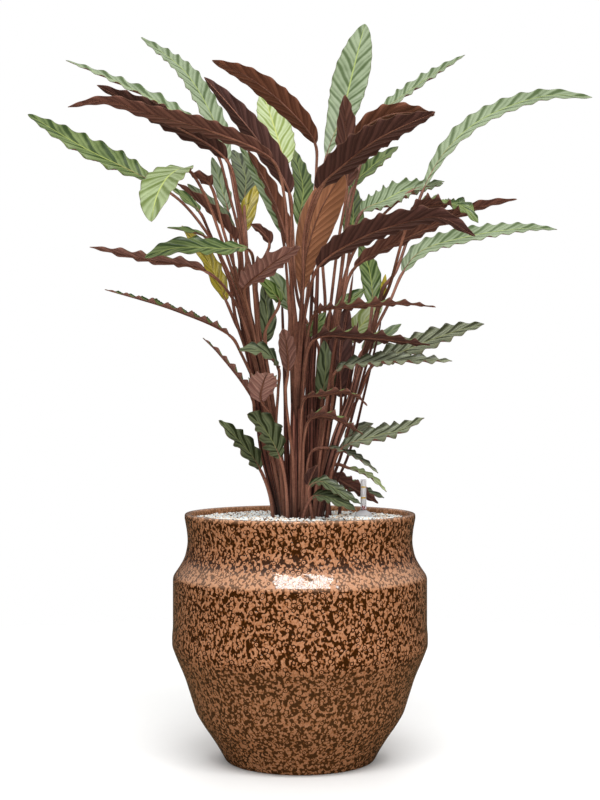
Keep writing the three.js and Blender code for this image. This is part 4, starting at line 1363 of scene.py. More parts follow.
# Small leaves and tips that fill the clump, which are too many for solids of their own
SMALL_LEAVES = named("small_leaf", {
    1: Leaf(("centre", 0.3), ((20, -24, 505),), ((46, -28, 511), (74, -36, 505), (99, -44, 492), (129, -52, 469)),
        (0, -0.3, 0.95), 10, 14, ruffle=1.3, upper=Upper.OLIVE, wave_length=17),
    2: Leaf(("right", 0.22), ((57, -14, 483),), ((80, -18, 478), (100, -22, 471), (119, -26, 461), (143, -30, 438)),
        (0, -0.35, 0.93), 8, 14, upper=Upper.LIME, ruffle=1.5, wave_length=15),
    3: Leaf((20, -50), (), ((16, -56, 447), (36, -66, 455), (58, -78, 443), (82, -92, 428), (100, -102, 418)),
        (0, -0.6, 0.75), 12, 12, upper=Upper.DARK, ruffle=1.3, wave_length=17),
    4: Leaf((12, -38), (), ((14, -48, 449), (19, -58, 464), (28, -66, 482)), (0, 0.7, 0.6), 11, 12, under=Under.DARK,
        ruffle=1.2, wave_length=16),
    5: Leaf((66, 42), (), ((74, 64, 444), (100, 74, 441), (121, 80, 435), (139, 84, 428)), (0, -0.5, 0.85), 12, 12,
        upper=Upper.DARK, ruffle=1.2, wave_length=17),
    6: Leaf(("centre", 0.46), (), ((8, -34, 592), (36, -48, 598), (72, -60, 602), (94, -66, 595), (111, -70, 580)),
        (0, 0.4, 0.9), 10, 14, ruffle=1.8, wave_length=20),
    7: Leaf(("right", 0.16), ((62, 22, 500),), ((76, 26, 524), (98, 32, 542), (121, 38, 551)), (-0.1, -0.6, 0.8), 14,
        12, upper=Upper.OLIVE),
    8: Leaf(("right", 0.84), (), ((135, 8, 757), (138, 10, 776), (141, 12, 797)), (0, -0.95, 0.2), 6, 30,
        upper=Upper.YELLOW, ruffle=0.1),
    9: Leaf(("left_back", 0.9), ((-97, 46, 800),), ((-94, 54, 866), (-86, 60, 905), (-69, 68, 946)), (0.2, -0.9, 0.3),
        15, 10, upper=Upper.YELLOW),
    10: Leaf(("left_back", 0.86), ((-110, 52, 820),), ((-119, 60, 903), (-130, 68, 940), (-145, 82, 990)),
        (0.3, -0.9, 0.3), 14, 10, upper=Upper.SILVER),
    11: Leaf(("left", 0.9), ((-126, -46, 868),), ((-147, -62, 943), (-162, -70, 957), (-181, -80, 964)),
        (0.1, 0.6, 0.8), 12, 12, ruffle=1.6),
    12: Leaf(("left", 0.86), ((-130, -2, 820), (-152, -6, 872)),
        ((-166, -10, 901), (-188, -14, 921), (-216, -20, 942)), (0.1, -0.6, 0.8), 14, 12, upper=Upper.GREEN),
    13: Leaf(("left", 0.7), ((-118, -8, 800),), ((-157, -26, 860), (-188, -32, 869), (-219, -38, 874)),
        (0.1, -0.5, 0.85), 10, 12),
    14: Leaf(("left_back", 0.7), ((-96, 40, 790),), ((-112, 34, 868), (-146, 30, 908), (-186, 26, 946)),
        (0.3, -0.8, 0.5), 16, 12, upper=Upper.DARK),
    15: Leaf(("centre", 0.8), ((-22, -4, 800),), ((-30, -12, 866), (-50, -12, 920), (-74, -8, 966), (-101, -2, 1014)),
        (-0.3, -0.9, 0.2), 11, 6, upper=Upper.SILVER, ruffle=0.5),
    16: Leaf(("left", 0.66), ((-58, -10, 700),), ((-34, -26, 751), (-48, -34, 770), (-71, -44, 792)),
        (0.1, -0.8, 0.6), 15, 10, upper=Upper.GREEN, ruffle=0.4),
    17: Leaf(("centre", 0.72), ((-18, 6, 690),), ((-18, 12, 738), (-30, 10, 770), (-52, 6, 806)), (0.2, -0.9, 0.4),
        16, 10, upper=Upper.SILVER, ruffle=0.5),
    18: Leaf(("left_back", 0.62), (), ((-99, 46, 768), (-106, 50, 792), (-109, 56, 812)), (0.2, -0.9, 0.4), 12, 10,
        upper=Upper.DARK),
    19: Leaf(("left", 0.88), ((-70, -2, 800),), ((-50, -4, 848), (-64, -6, 868), (-82, -8, 880)), (0.2, 0.6, 0.8), 12,
        16, ruffle=1.0),
    20: Leaf(("right_back", 0.5), ((78, 76, 640),), ((84, 80, 684), (104, 90, 716), (136, 104, 754)), (0, -0.9, 0.4),
        21, 12, upper=Upper.LIME, ruffle=0.5),
    21: Leaf(("right", 0.5), ((94, 24, 648),), ((104, 32, 672), (132, 38, 690), (167, 46, 715)), (-0.1, -0.7, 0.7),
        14, 12, upper=Upper.SILVER),
    22: Leaf(("right_back", 0.28), ((34, 28, 540),), ((36, 22, 590), (42, 20, 634), (40, 26, 688)), (0.2, -0.95, 0.2),
        17, 10, upper=Upper.DARK),
    23: Leaf(("centre", 0.6), ((12, 6, 660),), ((14, 12, 694), (26, 14, 712), (42, 18, 734)), (-0.2, -0.9, 0.3), 13,
        10, upper=Upper.GREEN),
    24: Leaf(("right_back", 0.66), ((58, 30, 700),), ((66, 26, 744), (84, 28, 756), (107, 30, 773)), (0, -0.8, 0.6),
        13, 10, upper=Upper.GREEN),
    26: Leaf(("centre", 0.82), ((4, -22, 771), (20, -52, 900)),
        ((92, -84, 1026), (140, -96, 1058), (181, -110, 1064), (222, -128, 1060)), (-0.2, 0.8, 0.5), 17, 14,
        under=Under.BROWN, ruffle=0.9),
    25: Leaf(("right_back", 0.92), ((92, 54, 840),), ((186, 60, 936), (212, 56, 944), (238, 50, 950)),
        (-0.1, -0.7, 0.7), 9, 14, upper=Upper.SILVER, ruffle=1.6),
})


@dataclass(frozen=True)
class LeafMaker:
    """The sizes that all leaves share, and the building of one leaf from its plan.

    A blade is a thin closed sheet on a round midrib, which is the petiole run on under it. Its pleats
    leave the midrib at a slant and grow into the waves of its margin.
    """

    columns: int = 10
    station: float = 2.5
    stalk_station: float = 7.0
    stalk_sides: int = 10
    bluntness: float = 0.64
    wave: float = 5.0
    pleat: float = 0.3
    wave_share: float = 0.2
    lobe: float = 0.1
    neck: float = 2.4
    tip: float = 0.5
    thick: float = 0.9
    thin: float = 0.45
    petiole_joint: float = 2.3
    foot_swell: float = 1.3
    foot_reach: float = 30.0
    joint_swell: float = 0.4
    joint_reach: float = 12.0
    settle_reach: float = 30.0
    midrib_tip: float = 0.45
    midrib_share: float = 0.8
    midrib_taper: float = 1.2
    groove: float = 0.45
    groove_reach: float = 1.4
    slant_reach: float = 14.0
    wander: float = 0.13
    unlike: float = 0.28
    rise: float = 1.9
    stalk_sink: float = 0.85
    column_power: float = 1.2
    lag_power: float = 0.85
    wander_waves: tuple[float, ...] = (1.7, 3.1)
    unlike_waves: tuple[float, ...] = (1.3, 2.6, 4.3)
    pleat_turn: float = 2.6
    pleat_end: float = 1.25
    second_pleat: float = 0.6
    second_turn: float = 0.8
    lobe_turn: float = 0.9

    def width(self, share: np.ndarray, widest: float) -> np.ndarray:
        """How wide the blade is along its length.

        Args:
            share: how far along, from 0 to 1.
            widest: where it is widest.

        Returns:
            The width from 0 to 1.
        """
        bend = math.log(0.5) / math.log(widest)
        return np.clip(np.sin(math.pi * share ** bend), 0.0, 1.0) ** self.bluntness

    @staticmethod
    def unevenness(source: random.Random, shares: np.ndarray, waves: Sequence[float]) -> np.ndarray:
        """A smooth uneven curve, about -1 to 1.

        Args:
            source: the leaf's own random numbers.
            shares: where it is read, from 0 to 1.
            waves: how many waves each of its layers has.

        Returns:
            The curve.
        """
        total = np.zeros_like(shares)
        for count in waves:
            total += np.sin(shares * count * FULL_TURN + source.uniform(0, FULL_TURN)) * source.uniform(0.5, 1.0)
        return total / len(waves) ** 0.5

    def build(self, name: str, plan: Leaf, finishes: Sequence[Material]) -> Piece:
        """Builds a leaf.

        Args:
            name: its name, which is also its solid's.
            plan: its plan.
            finishes: the materials of its upper face, its underside and its petiole.

        Returns:
            The piece.
        """
        start, sunk = plan.foot()
        places = [*start, *map(SIGHT.place, plan.stem), *map(SIGHT.place, plan.blade)]
        line = SmoothLine(places)
        neck_share = (len(plan.stem) + 2) / (len(places) - 1)
        stalk = np.vstack([sunk, line.even(0.0, neck_share, self.stalk_station)])
        midrib = line.even(neck_share, 1.0, self.station)
        points = np.vstack([stalk, midrib[1:]])
        neck = len(stalk) - 1
        along = unit(np.gradient(points, axis=0))
        ups = self._ups(plan, along, neck, len(midrib))
        sides = np.cross(along, ups)
        draft = MeshDraft()
        self._stalk(draft, points, sides, ups, neck)
        self._blade(draft, plan, points[neck:], sides[neck:], ups[neck:], random.Random(name))
        return draft.build(f"{name}_grown", finishes)

    @staticmethod
    def _ups(plan: Leaf, along: np.ndarray, neck: int, stations: int) -> np.ndarray:
        """The way the upper face looks at each point, carried down the petiole from the neck.

        Args:
            plan: the leaf's plan.
            along: the line's directions.
            neck: the number of the neck's point.
            stations: the points in the blade.

        Returns:
            The directions.
        """
        share = np.linspace(0.0, 1.0, stations)[:, None]
        face = np.array(plan.face, float)
        face_tip = np.array(plan.face_tip or plan.face, float)
        ups = np.empty_like(along)
        ups[neck:] = face + (face_tip - face) * share
        ups[neck:] = unit(ups[neck:] - along[neck:] * np.sum(ups[neck:] * along[neck:], axis=1, keepdims=True))
        for number in range(neck - 1, -1, -1):
            ups[number] = unit(ups[number + 1] - along[number] * ups[number + 1].dot(along[number]))
        return ups

    def _stalk(self, draft: MeshDraft, points: np.ndarray, sides: np.ndarray, ups: np.ndarray, neck: int) -> None:
        """Adds the petiole and the midrib that it runs on into.

        Args:
            draft: the mesh so far.
            points, sides, ups: the leaf's line and its directions.
            neck: the number of the neck's point.
        """
        reach = reach_along(points)
        past_neck = reach - reach[neck]
        below = np.clip(reach / reach[neck], 0.0, 1.0)
        radius = PETIOLE_FOOT + (self.petiole_joint - PETIOLE_FOOT) * below
        radius += self.foot_swell * np.exp(-reach / self.foot_reach)
        radius += self.joint_swell * np.exp(-((past_neck + self.joint_reach) / self.joint_reach) ** 2)
        beyond = np.clip(past_neck / past_neck[-1], 0.0, 1.0)
        thinned = (self.petiole_joint - self.midrib_tip) * (1 - beyond) ** self.midrib_taper * self.midrib_share
        radius = np.where(beyond > 0, np.minimum(radius, thinned + self.midrib_tip), radius)
        settle = np.clip((past_neck + self.joint_reach) / self.settle_reach, 0.0, 1.0)
        settle = settle * settle * (3 - 2 * settle)
        centres = points - ups * (settle * (radius * self.stalk_sink))[:, None]
        angles = -np.arange(self.stalk_sides) / self.stalk_sides * FULL_TURN
        rings = centres[:, None] + radius[:, None, None] * (
            sides[:, None] * np.cos(angles)[:, None] + ups[:, None] * np.sin(angles)[:, None]
        )
        draft.sweep(rings, turned_map(self.stalk_sides, reach), slots=2)

    def _blade(
        self, draft: MeshDraft, plan: Leaf, points: np.ndarray, sides: np.ndarray, ups: np.ndarray,
        source: random.Random
    ) -> None:
        """Adds the blade.

        Args:
            draft: the mesh so far.
            plan: the leaf's plan.
            points, sides, ups: the midrib's line and its directions.
            source: the leaf's own random numbers.
        """
        length = np.linalg.norm(np.diff(points, axis=0), axis=1).sum()
        share = np.linspace(0.0, 1.0, len(points))
        width = self.width(share, plan.widest)
        half = np.maximum(plan.half * width, np.where(share < 0.5, self.neck, self.tip))
        waves = max(2, round(length / plan.wave_length))
        steps = np.linspace(-1.0, 1.0, 2 * self.columns + 1)
        across = np.sign(steps) * np.abs(steps) ** self.column_power
        out = np.abs(across)
        lag = (half * plan.slant + self.slant_reach * width)[:, None] / plan.wave_length
        turn = waves * share + self.wander * self.unevenness(source, share, self.wander_waves)
        phase = turn[:, None] + lag * (1 - out[None] ** self.lag_power) + np.where(across < 0, 0.5, 0.0)
        angle = FULL_TURN * phase
        cusps = 4 / math.pi - 2 * np.abs(np.sin(angle / 2))
        crest = plan.cusp * cusps + (1 - plan.cusp) * np.cos(angle)
        lively = 1 + self.unlike * self.unevenness(source, share, self.unlike_waves)
        swing = min(self.wave, plan.half * self.wave_share) * plan.ruffle * width * lively
        ruffle = crest * swing[:, None] * out ** self.rise
        second = self.second_pleat * np.cos(2 * angle + self.second_turn) / (1 + lag ** 4)
        pleat = np.cos(angle + self.pleat_turn) + second
        fine = self.pleat * pleat * width[:, None] * out ** 0.5 * (self.pleat_end - out) * lively[:, None]
        lobe = np.abs(np.sin(angle / 2 + self.lobe_turn)) - 2 / math.pi
        scallop = 1 + self.lobe * plan.ruffle * lively[:, None] * lobe * out ** 3
        fold = math.radians(plan.fold)
        lift = half[:, None] * math.sin(fold) * out ** plan.curl + ruffle + fine
        reach = half[:, None] * math.cos(fold) * across * scallop
        thick = (self.thick + (self.thin - self.thick) * out) / 2
        groove = self.groove * np.exp(-(reach / self.groove_reach) ** 2) * np.clip(1 - share, 0.0, 1.0)[:, None]
        flat = points[:, None] + sides[:, None] * reach[..., None]
        top = flat + ups[:, None] * (lift + thick - groove)[..., None]
        low = flat + ups[:, None] * (lift - thick)[..., None]
        rings = np.concatenate([top, low[:, ::-1]], axis=1)
        ribs_top = np.stack([phase, np.broadcast_to(out, phase.shape)], axis=-1)
        map_top = np.stack([np.broadcast_to(across * 0.5 + 0.5, phase.shape),
                            np.broadcast_to(share[:, None], phase.shape)], axis=-1)
        ribs = np.concatenate([ribs_top, ribs_top[:, ::-1], ribs_top[:, :1]], axis=1)
        uv = np.concatenate([map_top, map_top[:, ::-1], map_top[:, :1]], axis=1)
        quads = len(steps) - 1
        slots = [0] * quads + [1] + [1] * quads + [1]
        smooth = [True] * quads + [False] + [True] * quads + [False]
        draft.sweep(rings, uv, ribs, slots, smooth, backs=np.arange(len(slots)) > quads)


# Planter, fill and gauge


@dataclass(frozen=True)
class Planter:
    """The glazed vessel: flat foot, heel, belly ridge, shoulder ridge, waisted neck and soft rim."""

    height: float = 404
    rim_radius: float = 190.5
    neck_radius: float = 184.5
    neck_height: float = 355
    shoulder_radius: float = 209
    shoulder_height: float = 299
    belly_radius: float = 210.3
    belly_height: float = 189
    heel_radius: float = 171
    heel_height: float = 78
    foot_radius: float = 122
    wall: float = 12
    floor: float = 16
    sides: int = 160
    spacing: float = 5.0

    def outline(self) -> np.ndarray:
        """The outline, up the outside, over the rim and down the inside.

        Returns:
            Radius and height of its points.
        """
        foot, belly, shoulder, neck = self.foot_radius, self.belly_radius, self.shoulder_radius, self.neck_radius
        corners = [
            (3, 0, 0), (foot - 4, 0, 0), (foot, 0.3, 1.5), (foot + 2, 2.5, 2), (foot + 10.5, 18, 8), (145, 38, 9),
            (159, 58, 9), (self.heel_radius, self.heel_height, 6), (self.heel_radius + 18.5, 137, 12),
            (202.6, 167, 8), (belly - 0.8, self.belly_height - 4, 2), (belly, self.belly_height + 1, 3),
            (belly, self.belly_height + 16, 4), (shoulder, self.belly_height + 28, 6),
            (shoulder, self.shoulder_height - 2, 4), (shoulder - 1.2, self.shoulder_height + 3, 2.5),
            (shoulder - 10.5, self.shoulder_height + 16.5, 6), (neck + 5, 331, 10), (neck, self.neck_height, 14),
            (neck + 1.5, self.neck_height + 20, 8), (self.rim_radius - 0.4, self.height - 7, 3),
            (self.rim_radius - 1, self.height - 0.8, 3.5), (self.rim_radius - 6, self.height, 3),
            (self.rim_radius - self.wall + 1, self.height - 0.8, 4), (self.rim_radius - self.wall, self.height - 8, 3),
            (neck - self.wall, self.neck_height, 10), (neck + 4 - self.wall, 330, 8),
            (shoulder - self.wall, self.shoulder_height, 8), (belly - self.wall, self.belly_height, 8),
            (self.heel_radius + 18.5 - self.wall, 137, 6), (self.heel_radius - self.wall, self.heel_height, 6),
            (159 - self.wall, 58, 6), (foot + 2, self.floor, 4), (3, self.floor, 0),
        ]
        coarse = rounded_outline(corners)
        fine = [coarse[0]]
        for start, end in zip(coarse, coarse[1:]):
            steps = max(1, math.ceil(np.linalg.norm(end - start) / self.spacing))
            fine.extend(start + (end - start) * step / steps for step in range(1, steps + 1))
        return np.array(fine)

    def build(self, finish: Material) -> None:
        """Builds the planter.

        Args:
            finish: its glaze.
        """
        draft = MeshDraft()
        draft.sweep(*turned_rings(self.outline(), self.sides))
        dress(draft.build("planter_thrown", [finish]), "glaze", "planter")


GOLDEN = (1 + math.sqrt(5)) / 2
GRAIN_CORNERS = np.array([
    (-1, GOLDEN, 0), (1, GOLDEN, 0), (-1, -GOLDEN, 0), (1, -GOLDEN, 0), (0, -1, GOLDEN), (0, 1, GOLDEN),
    (0, -1, -GOLDEN), (0, 1, -GOLDEN), (GOLDEN, 0, -1), (GOLDEN, 0, 1), (-GOLDEN, 0, -1), (-GOLDEN, 0, 1),
])
GRAIN_FACES = np.array([
    (0, 11, 5), (0, 5, 1), (0, 1, 7), (0, 7, 10), (0, 10, 11), (1, 5, 9), (5, 11, 4), (11, 10, 2),
    (10, 7, 6), (7, 1, 8), (3, 9, 4), (3, 4, 2), (3, 2, 6), (3, 6, 8), (3, 8, 9), (4, 9, 5), (2, 4, 11),
    (6, 2, 10), (8, 6, 7), (9, 8, 1),
])


@dataclass(frozen=True)
class Dressing:
    """Light granulate in a low mound: an uneven bed, dark with painted shade between the grains, and loose grains set
    in it.
    """

    top: float = 393
    mound: float = 3
    low: float = 366.3
    edge_radius: float = 176.5
    grain: float = 2.6
    pitch: float = 4.4
    scatter: float = 0.42
    row_pitch: float = 0.94
    rim_gap: float = 2.4
    stem_gap: float = 2.2
    knobs: Span = (0.74, 1.2)
    stretch: Span = (0.72, 1.25)
    sizes: Span = (0.78, 1.18)
    lift: Span = (-1.1, 1.0)
    bed_sides: int = 96
    bed_rings: int = 44
    bed_inner: float = 2.0
    bed_gap: float = 0.5
    bed_rough: float = 0.8
    painted_shade_tint: float = 0.9
    seed: int = 11

    def height(self, radius: np.ndarray) -> np.ndarray:
        """The mound's height at a distance from the axis."""
        return self.top + self.mound * np.cos(np.clip(radius / self.edge_radius, 0, 1) * math.pi / 2)

    def _keepouts(self) -> list[tuple[float, float, float]]:
        """Where no grain lies.

        Returns:
            x, y and radius of each stem and of the gauge's flange.
        """
        spots = [(Gauge.x, Gauge.y, Gauge.flange_radius + 1.0)]
        for shoot in (*SHOOTS.values(), *SLENDER_SHOOTS):
            centre = shoot.line.at(0.2)
            spots.append((centre[0], centre[1], shoot.foot + 1.2))
        petiole = PETIOLE_FOOT + self.stem_gap
        spots.extend((*plan.ground, petiole) for plan in (LEAVES | SMALL_LEAVES).values() if plan.ground)
        return spots

    def build(self, finish: Material) -> None:
        """Builds the bed and its grains.

        Args:
            finish: their material.
        """
        source = np.random.default_rng(self.seed)
        draft = MeshDraft()
        bed_edge = self.edge_radius - self.bed_gap
        across = np.linspace(bed_edge, self.bed_inner, self.bed_rings)
        radii = np.concatenate([[self.bed_inner, bed_edge], across])
        heights = np.concatenate([[self.low, self.low], self.height(across) - self.grain * 1.1])
        rings, uv = turned_rings(np.stack([radii, heights], axis=-1), self.bed_sides)
        surface = rings[2:, :, 2]
        surface += source.uniform(-self.bed_rough, self.bed_rough, surface.shape)
        # The bed takes a dark tone from the ramp: painted shade in the gaps between the grains.
        draft.sweep(rings, np.full_like(uv, self.painted_shade_tint))
        self._grains(draft, source)
        dress(draft.build("granulate_dressing", [finish]), "granulate", "granulate")

    def _grains(self, draft: MeshDraft, source: np.random.Generator) -> None:
        """Adds the loose grains.

        Args:
            draft: the mesh so far.
            source: the random numbers.
        """
        row = np.arange(-self.edge_radius, self.edge_radius, self.pitch)
        x, y = np.meshgrid(row, row * self.row_pitch)
        spots = np.stack([x.ravel(), y.ravel()], axis=-1)
        spots = spots + source.uniform(-self.scatter, self.scatter, spots.shape) * self.pitch
        clear = np.linalg.norm(spots, axis=1) < self.edge_radius - self.rim_gap
        for spot_x, spot_y, radius in self._keepouts():
            clear &= np.hypot(spots[:, 0] - spot_x, spots[:, 1] - spot_y) > radius + self.grain * 0.6
        spots = spots[clear]
        count = len(spots)
        lumps = unit(GRAIN_CORNERS)[None] * source.uniform(*self.knobs, (count, len(GRAIN_CORNERS), 1))
        lumps = lumps * source.uniform(*self.stretch, (count, 1, 3))
        spin, tilt = source.uniform(0, FULL_TURN, (2, count))
        cos_spin, sin_spin, cos_tilt, sin_tilt = np.cos(spin), np.sin(spin), np.cos(tilt), np.sin(tilt)
        zero, one = np.zeros(count), np.ones(count)
        about_z = np.stack([cos_spin, -sin_spin, zero, sin_spin, cos_spin, zero, zero, zero, one], -1)
        about_x = np.stack([one, zero, zero, zero, cos_tilt, -sin_tilt, zero, sin_tilt, cos_tilt], -1)
        turn = about_z.reshape(-1, 3, 3) @ about_x.reshape(-1, 3, 3)
        lumps = lumps @ turn.transpose(0, 2, 1) * self.grain * source.uniform(*self.sizes, (count, 1, 1))
        heights = self.height(np.linalg.norm(spots, axis=1)) + source.uniform(*self.lift, count)
        centres = np.column_stack([spots, heights])
        draft.lumps(centres[:, None] + lumps, GRAIN_FACES, source.uniform(0, 1, count))


@dataclass(frozen=True)
class Gauge:
    """The water gauge: casing, domed flange and clear sight tube, with its float and level marks."""

    x: float = 106
    y: float = 31
    bottom: float = 180
    casing_radius: float = 9
    casing_bore: float = 7.4
    lip_bore: float = 4
    lip_height: float = 3
    flange_radius: float = 14.5
    flange_bottom: float = 395.5
    flange_top: float = 405
    tube_radius: float = 4.8
    tube_bore: float = 3.5
    top: float = 457
    float_radius: float = 6.2
    float_length: float = 70
    rod_radius: float = 1.2
    tip_radius: float = 3.3
    tip_length: float = 7
    float_top: float = 413
    sides: int = 40
    mark_heights: tuple[float, float] = (444.5, 426.5)
    mark_size: float = 2.4
    mark_spread: float = 48
    mark_steps: int = 12

    def _tube(self, finish: Material) -> None:
        """Builds the moulded tube, flange and casing.

        Args:
            finish: their clear plastic.
        """
        outline = rounded_outline([
            (self.lip_bore, self.bottom, 0), (self.casing_radius, self.bottom, 1.2),
            (self.casing_radius, self.flange_bottom, 0.6), (self.flange_radius, self.flange_bottom, 0.8),
            (self.flange_radius, self.flange_bottom + 3, 2.4), (self.flange_radius - 3.2, self.flange_top - 2.4, 3),
            (self.tube_radius + 1.4, self.flange_top, 2), (self.tube_radius, self.flange_top + 1.6, 1),
            (self.tube_radius, self.top, 1.2), (0.8, self.top, 0), (0.8, self.top - 1.5, 0),
            (self.tube_bore, self.top - 1.5, 0.6), (self.tube_bore, self.flange_bottom - 4, 1),
            (self.casing_bore, self.flange_bottom - 6, 1), (self.casing_bore, self.bottom + self.lip_height, 0.4),
            (self.lip_bore, self.bottom + self.lip_height, 0.4), (self.lip_bore, self.bottom, 0),
        ])
        rings, uv = turned_rings(outline, self.sides, self.x, self.y)
        draft = MeshDraft()
        draft.sweep(rings[:-1], uv[:-1], capped=False)
        draft.sweep(rings[-2:], uv[-2:], capped=False)
        piece = draft.build("gauge_sight_tube", [finish])
        self._weld(piece)
        dress(piece, "gauge", "gauge_tube")

    @staticmethod
    def _weld(piece: Piece) -> None:
        """Joins the doubled vertices of a piece's seams.

        Args:
            piece: the piece.
        """
        weld = piece.modifiers.new("weld", "WELD")
        weld.merge_threshold = 0.00001
        graph = bpy.context.evaluated_depsgraph_get()
        mesh = bpy.data.meshes.new_from_object(piece.evaluated_get(graph))
        piece.modifiers.clear()
        piece.data = mesh

    def _float(self, finish: Material) -> None:
        """Builds the float with its rod and red tip.

        Args:
            finish: its plastic.
        """
        low = self.bottom + self.lip_height + GAP
        outline = rounded_outline([
            (0.4, low, 0), (self.float_radius, low, 2), (self.float_radius, low + self.float_length, 2),
            (self.rod_radius, low + self.float_length + 5, 1), (self.rod_radius, self.float_top - self.tip_length, 0.4),
            (self.tip_radius, self.float_top - self.tip_length, 1), (self.tip_radius, self.float_top, 1.2),
            (0.4, self.float_top, 0),
        ])
        draft = MeshDraft()
        draft.sweep(*turned_rings(outline, self.sides, self.x, self.y))
        dress(draft.build("gauge_level_float", [finish]), "float", "gauge_float")

    def _marks(self, finish: Material) -> None:
        """Builds the two plain level marks on the front of the sight tube.

        Args:
            finish: their printed colour.
        """
        draft = MeshDraft()
        angles = np.radians(np.linspace(-90 - self.mark_spread, -90 + self.mark_spread, self.mark_steps + 1))
        inner, outer, rise = self.tube_radius - 0.1, self.tube_radius + 0.3, self.mark_size / 2
        for height in self.mark_heights:
            outline = ((inner, height + rise), (outer, height + rise), (outer, height - rise), (inner, height - rise))
            rings = np.array([[
                (self.x + math.cos(angle) * radius, self.y + math.sin(angle) * radius, z) for radius, z in outline
            ] for angle in angles])
            draft.sweep(rings, turned_map(len(outline), np.linspace(0, 1, len(angles))), smooth=False)
        dress(draft.build("gauge_level_marks", [finish]), "gauge")

    def build(self, clear: Material, red: Material, yellow: Material) -> None:
        """Builds the gauge.

        Args:
            clear: the tube's plastic.
            red: the float's plastic.
            yellow: the marks' colour.
        """
        self._tube(clear)
        self._float(red)
        self._marks(yellow)


@dataclass(frozen=True)
class Fill:
    """The hidden fill, whose solids stay as they are and get finishes."""

    finishes: dict[str, Finish] = field(default_factory=lambda: {
        "clay_pebbles": GrittyFinish("clay_pebbles_finish", pits=90.0, relief=0.004),
        "culture_pot": GrittyFinish(
            "culture_pot_finish", base=rgb(96, 62, 46), deep=rgb(74, 46, 34), rough=0.5, pits=700.0, relief=0.0002,
        ),
        "root_ball": GrittyFinish(
            "root_ball_finish", base=rgb(150, 122, 92), deep=rgb(84, 60, 42), rough=0.95, pits=180.0, relief=0.003,
        ),
    })

    def dress(self, groups: GroupLibrary) -> None:
        """Gives each node of the fill its finish.

        Args:
            groups: the shared shader groups.
        """
        for name, finish in self.finishes.items():
            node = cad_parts[name]
            node.data.materials.clear()
            node.data.materials.append(finish.build(groups))
            LOG.info("%s: finished", name)


@dataclass(frozen=True)
class Plant:
    """The shoots and the leaves that grow from them."""

    maker: LeafMaker = LeafMaker()

    def build(self, groups: GroupLibrary) -> None:
        """Builds every shoot and leaf.

        Args:
            groups: the shared shader groups.
        """
        stalk = StalkFinish("petiole_finish").build(groups)
        sheath = StalkFinish(
            "sheath_finish", base=rgb(70, 33, 27), deep=rgb(12, 5, 4), light=rgb(176, 116, 99), around=6.0,
            along=0.012, groove_depth=0.0016, seam_shade=0.95, shade=0.85, shade_reach=210.0,
        )
        # A lighter copy of the sheath finish: painted light for the highlight that the outer columns catch.
        painted_lit = replace(
            sheath, name="painted_lit_sheath_finish", base=rgb(116, 62, 53), light=rgb(218, 162, 142), shade=0.75,
        ).build(groups)
        column = sheath.build(groups)
        uppers = {tone: tone.value.build(groups) for tone in Upper}
        unders = {tone: tone.value.build(groups) for tone in Under}
        for shoot in (*SHOOTS.values(), *SLENDER_SHOOTS):
            shoot.build(painted_lit if shoot.painted_lit else column)
        for name, plan in (LEAVES | SMALL_LEAVES).items():
            piece = self.maker.build(name, plan, [uppers[plan.upper], unders[plan.under], stalk])
            dress(piece, "leaf", *([name] if name in LEAVES else []))


# Studio


@dataclass(frozen=True)
class Softbox:
    """A large even lamp that looks at a point."""

    name: str
    place: Place
    size: tuple[float, float]
    power: float
    target: Place = (0.0, 0.0, 0.6)
    mirrored: bool = True

    def build(self) -> None:
        """Sets up the lamp."""
        lamp = bpy.data.lights.new(self.name, "AREA")
        lamp.shape = "RECTANGLE"
        lamp.size, lamp.size_y = self.size
        lamp.energy = self.power
        holder = bpy.data.objects.new(self.name, lamp)
        holder.location = self.place
        holder.visible_glossy = self.mirrored
        aim = np.array(self.target) - np.array(self.place)
        flat = math.hypot(aim[0], aim[1])
        holder.rotation_euler = (math.pi / 2 + math.atan2(aim[2], flat), 0.0, math.atan2(-aim[0], aim[1]))
        bpy.context.scene.collection.objects.link(holder)


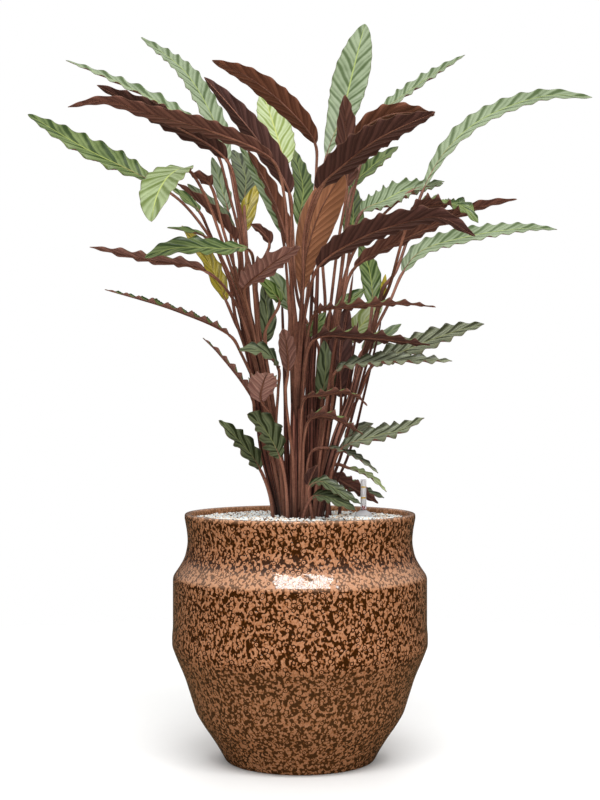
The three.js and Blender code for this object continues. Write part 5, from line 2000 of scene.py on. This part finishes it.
@dataclass(frozen=True)
class Studio:
    """A pale floor, soft light and the camera at the height of the plant's lower leaves."""

    lens: float = 67.5
    sensor: float = 36.0
    far: float = 50.0
    distance: float = 2.475
    eye_height: float = 0.583
    rise: float = 0.005
    floor_reach: float = 9.0
    floor_clear: float = 0.75
    floor_fade: float = 1.7
    floor_pale: Colour = (0.93, 0.93, 0.92, 1.0)
    floor_grain: Colour = (0.88, 0.88, 0.87, 1.0)
    floor_bounce: Colour = (0.56, 0.48, 0.38, 1.0)
    floor_mirrored: Colour = (0.06, 0.04, 0.02, 1.0)
    lamps: tuple[Softbox, ...] = (
        Softbox("key", (0.12, -1.4, 2.5), (1.9, 0.5), 50.0, (0.0, 0.0, 0.45)),
        Softbox("front_fill", (0.2, -2.6, 0.62), (1.7, 1.2), 26.5, mirrored=False),
        Softbox("back", (0.0, 2.5, 1.6), (2.2, 1.6), 36.0, mirrored=False),
    )

    def build(self) -> None:
        """Builds the studio."""
        self._camera()
        self._world()
        self._floor()
        for lamp in self.lamps:
            lamp.build()
        bpy.context.scene.view_settings.view_transform = "Standard"

    def _camera(self) -> None:
        """Sets the camera level in front of the plant."""
        camera = bpy.data.cameras.new("camera")
        camera.lens = self.lens
        camera.sensor_width = self.sensor
        camera.shift_y = self.rise
        camera.clip_end = self.far
        holder = bpy.data.objects.new("camera", camera)
        holder.location = (0.0, -self.distance, self.eye_height)
        holder.rotation_euler = (math.pi / 2, 0.0, 0.0)
        bpy.context.scene.collection.objects.link(holder)
        bpy.context.scene.camera = holder

    @staticmethod
    def _world() -> None:
        """Sets a surround that is white to the camera and lights the plant softly from above."""
        world = bpy.data.worlds.new("surround")
        world.use_nodes = True
        write = NodeWriter(world.node_tree)
        background = world.node_tree.nodes["Background"]
        path = write.add("ShaderNodeLightPath")
        seen = write.math("MAXIMUM", path.outputs["Is Camera Ray"], path.outputs["Is Transmission Ray"])
        direction = write.add("ShaderNodeTexCoord").outputs["Generated"]
        glow = write.ease(write.height(direction), 0.0, 0.9, 0.03, 0.85)
        write.feed(background.inputs["Color"], (1.0, 1.0, 1.0, 1.0))
        write.feed(background.inputs["Strength"], write.math("MAXIMUM", seen, glow))
        bpy.context.scene.world = world

    def _floor(self) -> None:
        """Builds the floor, which fades into the white surround away from the planter."""
        reach = self.floor_reach
        corners = [(-reach, -reach, 0), (reach, -reach, 0), (reach, reach, 0), (-reach, reach, 0)]
        mesh = bpy.data.meshes.new("studio_floor")
        mesh.from_pydata(corners, [], [(0, 1, 2, 3)])
        floor = bpy.data.objects.new("studio_floor", mesh)
        bpy.context.scene.collection.objects.link(floor)
        material = bpy.data.materials.new("studio_floor")
        material.use_nodes = True
        write = NodeWriter(material.node_tree)
        shader = material.node_tree.nodes["Principled BSDF"]
        output = material.node_tree.nodes["Material Output"]
        place = write.place()
        grain = write.ease(write.noise(place, 60.0), 0.3, 0.7, 0.0, 0.12)
        path = write.add("ShaderNodeLightPath").outputs
        seen = path["Is Camera Ray"]
        hidden = write.mix(path["Is Glossy Ray"], self.floor_bounce, self.floor_mirrored)
        face = write.mix(seen, hidden, write.mix(grain, self.floor_pale, self.floor_grain))
        for name, value in (("Base Color", face), ("Roughness", 0.9), ("Specular IOR Level", 0.1)):
            write.feed(shader.inputs[name], value)
        fade = write.times(write.ease(write.reach(place), self.floor_clear, self.floor_fade), seen)
        clear = write.add("ShaderNodeBsdfTransparent").outputs[0]
        blend = write.add("ShaderNodeMixShader", {0: fade, 1: shader.outputs[0], 2: clear})
        write.feed(output.inputs["Surface"], blend.outputs[0])
        mesh.materials.append(material)
        floor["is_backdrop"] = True


def write_sizes() -> None:
    boxes = {"cad": CAD_BOX, "visual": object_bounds()}
    {name: [list(corner) for corner in box] for name, box in boxes.items()}


def main() -> None:
    """Builds the plant in its planter and the studio round it."""
    logging.basicConfig(level=logging.INFO, format="%(name)s %(message)s")
    groups = GroupLibrary()
    Studio().build()
    Planter().build(Glaze("planter_glaze").build(groups))
    Dressing().build(GrainFinish("granulate_finish").build(groups))
    Gauge().build(
        ClearPlastic("gauge_clear").build(groups),
        GlossPlastic("float_red").build(groups),
        GlossPlastic("mark_yellow", rgb(226, 186, 62), rgb(196, 150, 40)).build(groups),
    )
    Fill().dress(groups)
    Plant().build(groups)
    write_sizes()


if __name__ == "__main__":
    main()
